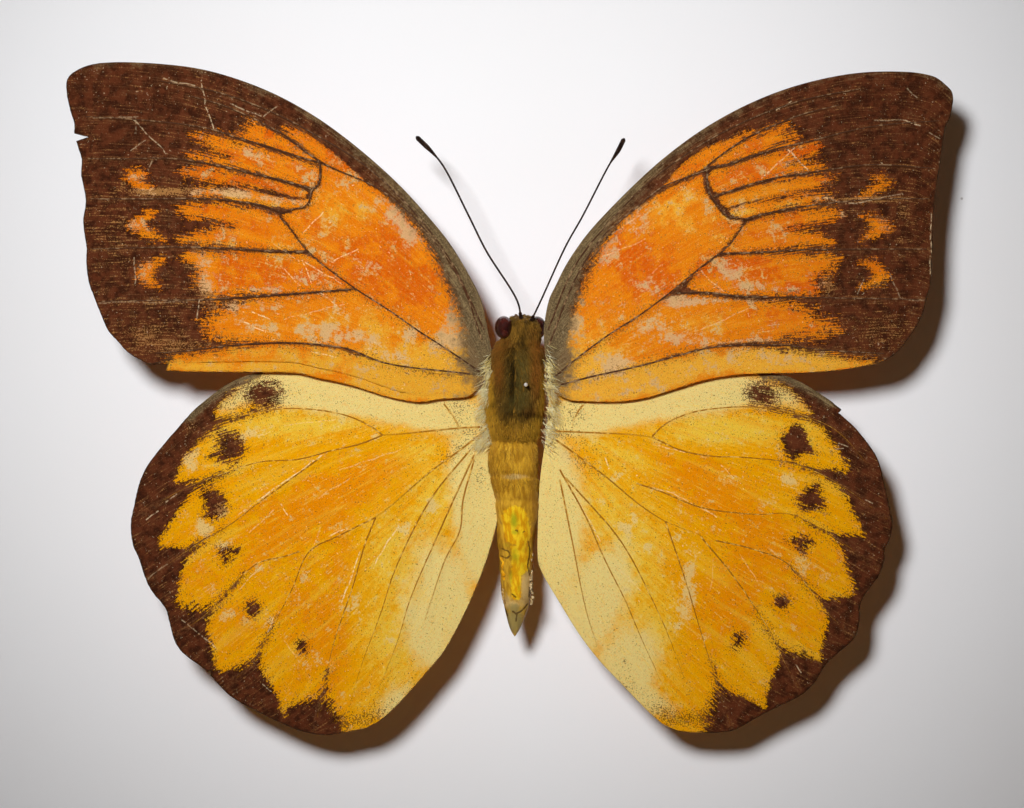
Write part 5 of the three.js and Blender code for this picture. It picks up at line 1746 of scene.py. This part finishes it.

# %% [markdown]
# The abdomen has dried and split. Its coat is golden and rather bare; a bright yellow stain with some
# green shows down the back; below it the skin has opened along both sides in a pale ragged rim, and the
# tip is a grey cone with dark cracks. Darker colour down both sides is painted shade of the round body, and
# a pale band across the first fold is a painted highlight.

# %% Abdomen
STAIN = [
    (504, 510), (512, 505), (520, 506), (526, 512), (529, 521), (532, 534), (530, 541), (525, 545),
    (512, 544), (506, 539), (503, 529), (502, 518),
]
STRIPE = [
    (511, 545), (520, 544), (529, 545), (530, 555), (528, 570), (521, 575), (521, 590), (520, 599),
    (513, 599), (510, 586), (511, 570), (512, 558),
]
CRACKS = [
    [(502, 549), (508, 551), (510, 555)],
    [(501, 556), (507, 558), (509, 556)],
    [(528, 541), (530, 552), (528, 566), (531, 580), (529, 597)],
    [(528, 604), (522, 611), (516, 614)],
    [(516, 614), (512, 611)],
    [(505, 609), (508, 618)],
    [(512, 594), (517, 598)],
    [(516, 530), (518, 531)],
    [(523, 532), (525, 531)],
    [(517, 615), (516, 623)],
]
ABDOMEN_SOFT = {
    "green": [
        (514, 520, 4, 9, 1.2), (516, 532, 6, 3, 0.7), (515, 556, 5, 9, 0.9, 10), (511, 577, 2.5, 9, 0.8),
        (519, 588, 2, 6, 0.7), (506, 545, 5, 3, 0.5), (524, 565, 4, 8, 0.4),
    ],
    # Real pale torn skin, and one band across the first fold that is a painted highlight.
    "tan_and_fold_highlight": [
        (527, 588, 7, 18, 1.2), (506, 598, 4, 8, 0.5), (500, 530, 4, 20, 0.2), (535, 560, 4, 40, 0.4),
        (512, 604, 10, 6, 0.8), (515, 476, 14, 3, 1.0),
    ],
    # The real grey tip, and a thin band across the first fold that is a painted highlight.
    "grey": [(514, 622, 12, 14, 1.1), (514, 607, 6, 4, 0.6), (512, 477, 10, 3, 0.6)],
    # These patches paint shade down both sides of the round abdomen; the few at the middle and the tip are
    # real dark marks.
    "brown_and_side_shade": [
        (536, 515, 6, 45, 0.8), (494, 480, 6, 40, 0.6), (516, 496, 20, 7, 0.5), (538, 470, 5, 30, 0.6),
        (515, 455, 12, 10, 0.5), (530, 610, 4, 8, 0.6), (520, 620, 5, 6, 0.5),
    ],
    "rust": [(507, 535, 4, 8, 0.8), (530, 532, 4, 10, 0.6), (508, 510, 6, 4, 0.4)],
}
ABDOMEN_SKIN = (shade(166, 118, 26), shade(208, 160, 46))
# The first tint below is partly painted side shade; the pale tint and the grey also paint a highlight across
# the first fold, besides real pale skin and the real grey tip.
ABDOMEN_TINTS = {
    "brown_and_side_shade": shade(150, 102, 26), "tan_and_fold_highlight": shade(206, 172, 108), "rust": shade(206, 128, 22),
    "grey": shade(150, 132, 78),
}
STAIN_YELLOW = (shade(214, 150, 14), shade(238, 196, 34))
STAIN_GREEN = shade(150, 158, 30)
CRACK_DARK = shade(74, 46, 20)
HAIR_END = 9.5
BACK_STARTS = 8.0


def abdomen_finish():
    finish = Finish("abdomen")
    grain = finish.noise(3.0, 3)
    fine = finish.noise(8.0, 2)
    down = finish.noise(2.5, 3, at=finish.stretched((1, 1, 0.3)))
    stir = finish.maths("SUBTRACT", grain, 0.5)
    colour = finish.lay(*ABDOMEN_SKIN, down, 0.35, 0.65)
    # Tints over the skin, among them painted shade down the sides and a painted highlight on the first fold.
    for key, tint in ABDOMEN_TINTS.items():
        colour = finish.lay(colour, tint, finish.times(stir, 0.8, finish.told(key)), 0.2, 0.9, 0.9)
    yellow = finish.lay(*STAIN_YELLOW, down, 0.4, 0.62)
    colour = finish.lay(colour, yellow, finish.times(stir, 0.9, finish.told("stain")), -0.12, 0.12)
    colour = finish.lay(colour, STAIN_GREEN, finish.times(stir, 0.5, finish.told("green")), 0.15, 1.2, 0.8)
    cracked = finish.rise(finish.times(stir, 0.16, finish.told("crack")), 0.12, 0.05)
    colour = finish.blend(finish.times(cracked, 0.75), colour, CRACK_DARK)
    rough_skin = finish.relief(grain, 0.06, 0.6, finish.relief(fine, 0.03, 0.5))
    normal = finish.relief(cracked, -0.08, 0.8, rough_skin)
    return finish.done(finish.surface(colour, 0.42, normal, Specular_IOR_Level=0.45))


def hairy(middle, normal):
    """Whether a face of the abdomen is in front and above the stain."""
    return normal.y < 0.2 and middle.z > CENTRE_Z - HAIR_END


abdomen_lump = lump(ABDOMEN, 96, 190, folded)
coat_on("abdomen_fur", abdomen_lump, 3600, 24, hairy, (0.3, 0.65), 0.22, (0.014, 0.024), tail_coat)
abdomen = new_piece("abdomen_skin", abdomen_lump, abdomen_finish())
on_photo = np.array([v.co for v in abdomen.data.vertices])
seen = seen_at(on_photo)
behind = np.where(on_photo[:, 1] / MM > CARD_Y - BACK_STARTS, 9.0, 0.0)
tell(abdomen, stain=np.maximum(inside(seen, STAIN), inside(seen, STRIPE)) - behind,
     crack=near_lines(seen, CRACKS) + behind,
     **{key: patches(seen, rows) for key, rows in ABDOMEN_SOFT.items()})
give(abdomen, "abdomen", "abdomen")

# %% Flakes on the abdomen
SCRAPS = (
    ("torn_rim_right", 22, (0.28, 0.35, 0.5), (shade(150, 112, 60), shade(232, 212, 168)), 31, 9.5,
     [(528, 543), (531, 552), (530, 564), (532, 574), (531, 586), (532, 598), (531, 604)]),
    ("torn_rim_left", 16, (0.2, 0.3, 0.45), (shade(160, 120, 60), shade(214, 184, 124)), 32, 9.3,
     [(501, 555), (503, 562), (502, 572), (504, 582), (503, 594), (504, 604)]),
    ("orange_flake", 7, (0.42, 0.35, 0.75), (shade(226, 150, 14), shade(246, 190, 40)), 33, 9.9,
     [(502, 559), (504, 567), (503, 574), (505, 579)]),
)


def flakes(name, count, size, colours, seed, height, line):
    """Torn scraps of skin along a line, each a squashed and crumpled ball."""
    rng = np.random.default_rng(seed)
    finish = Finish(name)
    colour = finish.lay(*colours, finish.noise(2.0, 3), 0.35, 0.65)
    look = finish.done(finish.surface(colour, 0.6, finish.relief(finish.noise(5, 3), 0.08)))
    spots = along(smooth(flat(line)), (np.arange(count) + rng.uniform(0.2, 0.8, count)) / count)
    bm = bmesh.new()
    for (x, y), up in zip(spots, rng.normal(height, 0.12, count)):
        scale = rng.uniform(0.6, 1.3, 3) * size
        lean = Matrix.Rotation(rng.uniform(-0.6, 0.6), 4, "Y")
        turn = lean @ Matrix.Rotation(rng.uniform(-0.5, 0.5), 4, "Z")
        where = Matrix.Translation(Vector(stand(x + rng.normal(0, 0.05), y, up)))
        fit = where @ turn @ Matrix.Diagonal((*(scale * MM), 1))
        ball = bmesh.ops.create_icosphere(bm, subdivisions=3, radius=0.5, matrix=fit)["verts"]
        dents = rng.normal(0, 0.035, (len(ball), 3)) * MM
        for vert, dent in zip(ball, dents):
            vert.co += Vector(dent)
    every_way = {"use_axis_" + axis: True for axis in "xyz"}
    bmesh.ops.smooth_vert(bm, verts=bm.verts, factor=0.5, **every_way)
    return give(new_piece(name, bm, look), "abdomen")


for scrap in SCRAPS:
    flakes(*scrap)

# %% [markdown]
# Pale wisps stick out where the wings join the body. They are the same hairs as the coat, longer and
# thinner, rooted in ovals beside the body.

# %% Wisps at the wing roots
WISPS = {"low": shade(250, 226, 140), "high": shade(255, 250, 214), "dark": shade(150, 116, 70)}
WISPS_SOFT = {
    "dark": [(482, 432, 4, 5, 1.0), (556, 436, 6, 5, 0.8), (548, 415, 3, 4, 0.8), (549, 390, 3, 5, 0.8)],
}
HAIRS_TO_A_SPOT = 120
WISP_SPOTS = [
    (489, 372, 4, 16, 11.7, -1), (547, 372, 4, 18, 11.7, 1), (486, 392, 5, 9, 11.6, -1),
    (550, 390, 5, 9, 11.6, 1), (488, 432, 5, 16, 10.5, -1), (547, 432, 5, 20, 10.5, 1),
    (482, 442, 6, 6, 10.3, -1), (551, 412, 6, 10, 10.4, 1), (484, 412, 5, 8, 10.4, -1),
]


def wisps():
    rng = np.random.default_rng(41)
    roots, heading = [], []
    for x, y, wide, tall, height, side in WISP_SPOTS:
        spots = flat(rng.normal((x, y), (wide / 2, tall / 2), (HAIRS_TO_A_SPOT, 2)))
        roots.append(stand(spots[:, 0], spots[:, 1], rng.normal(height, 0.15, HAIRS_TO_A_SPOT)))
        heading.append(rng.normal((side * 0.8, -0.12, -0.8), (0.35, 0.12, 0.35), (HAIRS_TO_A_SPOT, 3)))
    roots = np.vstack(roots)
    outward = np.tile((0, -1.0, 0), (len(roots), 1))
    fur("wing_root_wisps", "body_hair", hair_finish("wisps", WISPS), roots, outward, unit(np.vstack(heading)),
        rng, (0.6, 1.6), (0.022, 0.042), 0.15, WISPS_SOFT)


wisps()

# %% [markdown]
# The pin is a thin steel rod through the thorax with a rounded top. Its steel is near white and only partly
# metal, so its top is a painted glint, to which the far lamp adds a real one.

# %% Pin
PIN_X, PIN_Y, PIN_TOP, PIN_TIP, PIN_RADIUS = 1.5, 2.1, 15.0, -3.3, 0.22
rod = [(PIN_TIP, 0.02), (PIN_TIP + 1.0, PIN_RADIUS), (PIN_TOP - 0.30, PIN_RADIUS), (PIN_TOP - 0.12, 0.20),
       (PIN_TOP - 0.03, 0.12), (PIN_TOP, 0.03)]
# Near white and only partly metal: the bright dot on the pin's top is a painted glint.
pin_steel = metal("pin_steel", shade(240, 240, 240), shade(206, 204, 200), 0.2, 0.4)
rod_places = [stand(PIN_X, PIN_Y, z) for z, radius in rod]
give(tube_mesh("pin_rod", [(rod_places, [radius for z, radius in rod])], pin_steel, 5), "pin_steel", "pin")

# %% [markdown]
# The frame stands on a plain pale floor. Lamps light the floor, but the floor throws no light back at the
# card, which in the photograph lay flat.

# %% Floor
FLOOR_PALE, FLOOR_SHADE = shade(212, 210, 206), shade(204, 202, 198)


def make_floor():
    finish = Finish("floor")
    colour = finish.lay(FLOOR_PALE, FLOOR_SHADE, finish.noise(0.01, 2), 0.3, 0.7)
    bm = bmesh.new()
    bmesh.ops.create_grid(bm, x_segments=1, y_segments=1, size=3.0)
    floor = new_piece("floor", bm, finish.done(finish.surface(colour, 0.9)), smooth_below=None)
    floor.visible_diffuse = False
    floor.visible_glossy = False
    floor.visible_transmission = False


make_floor()
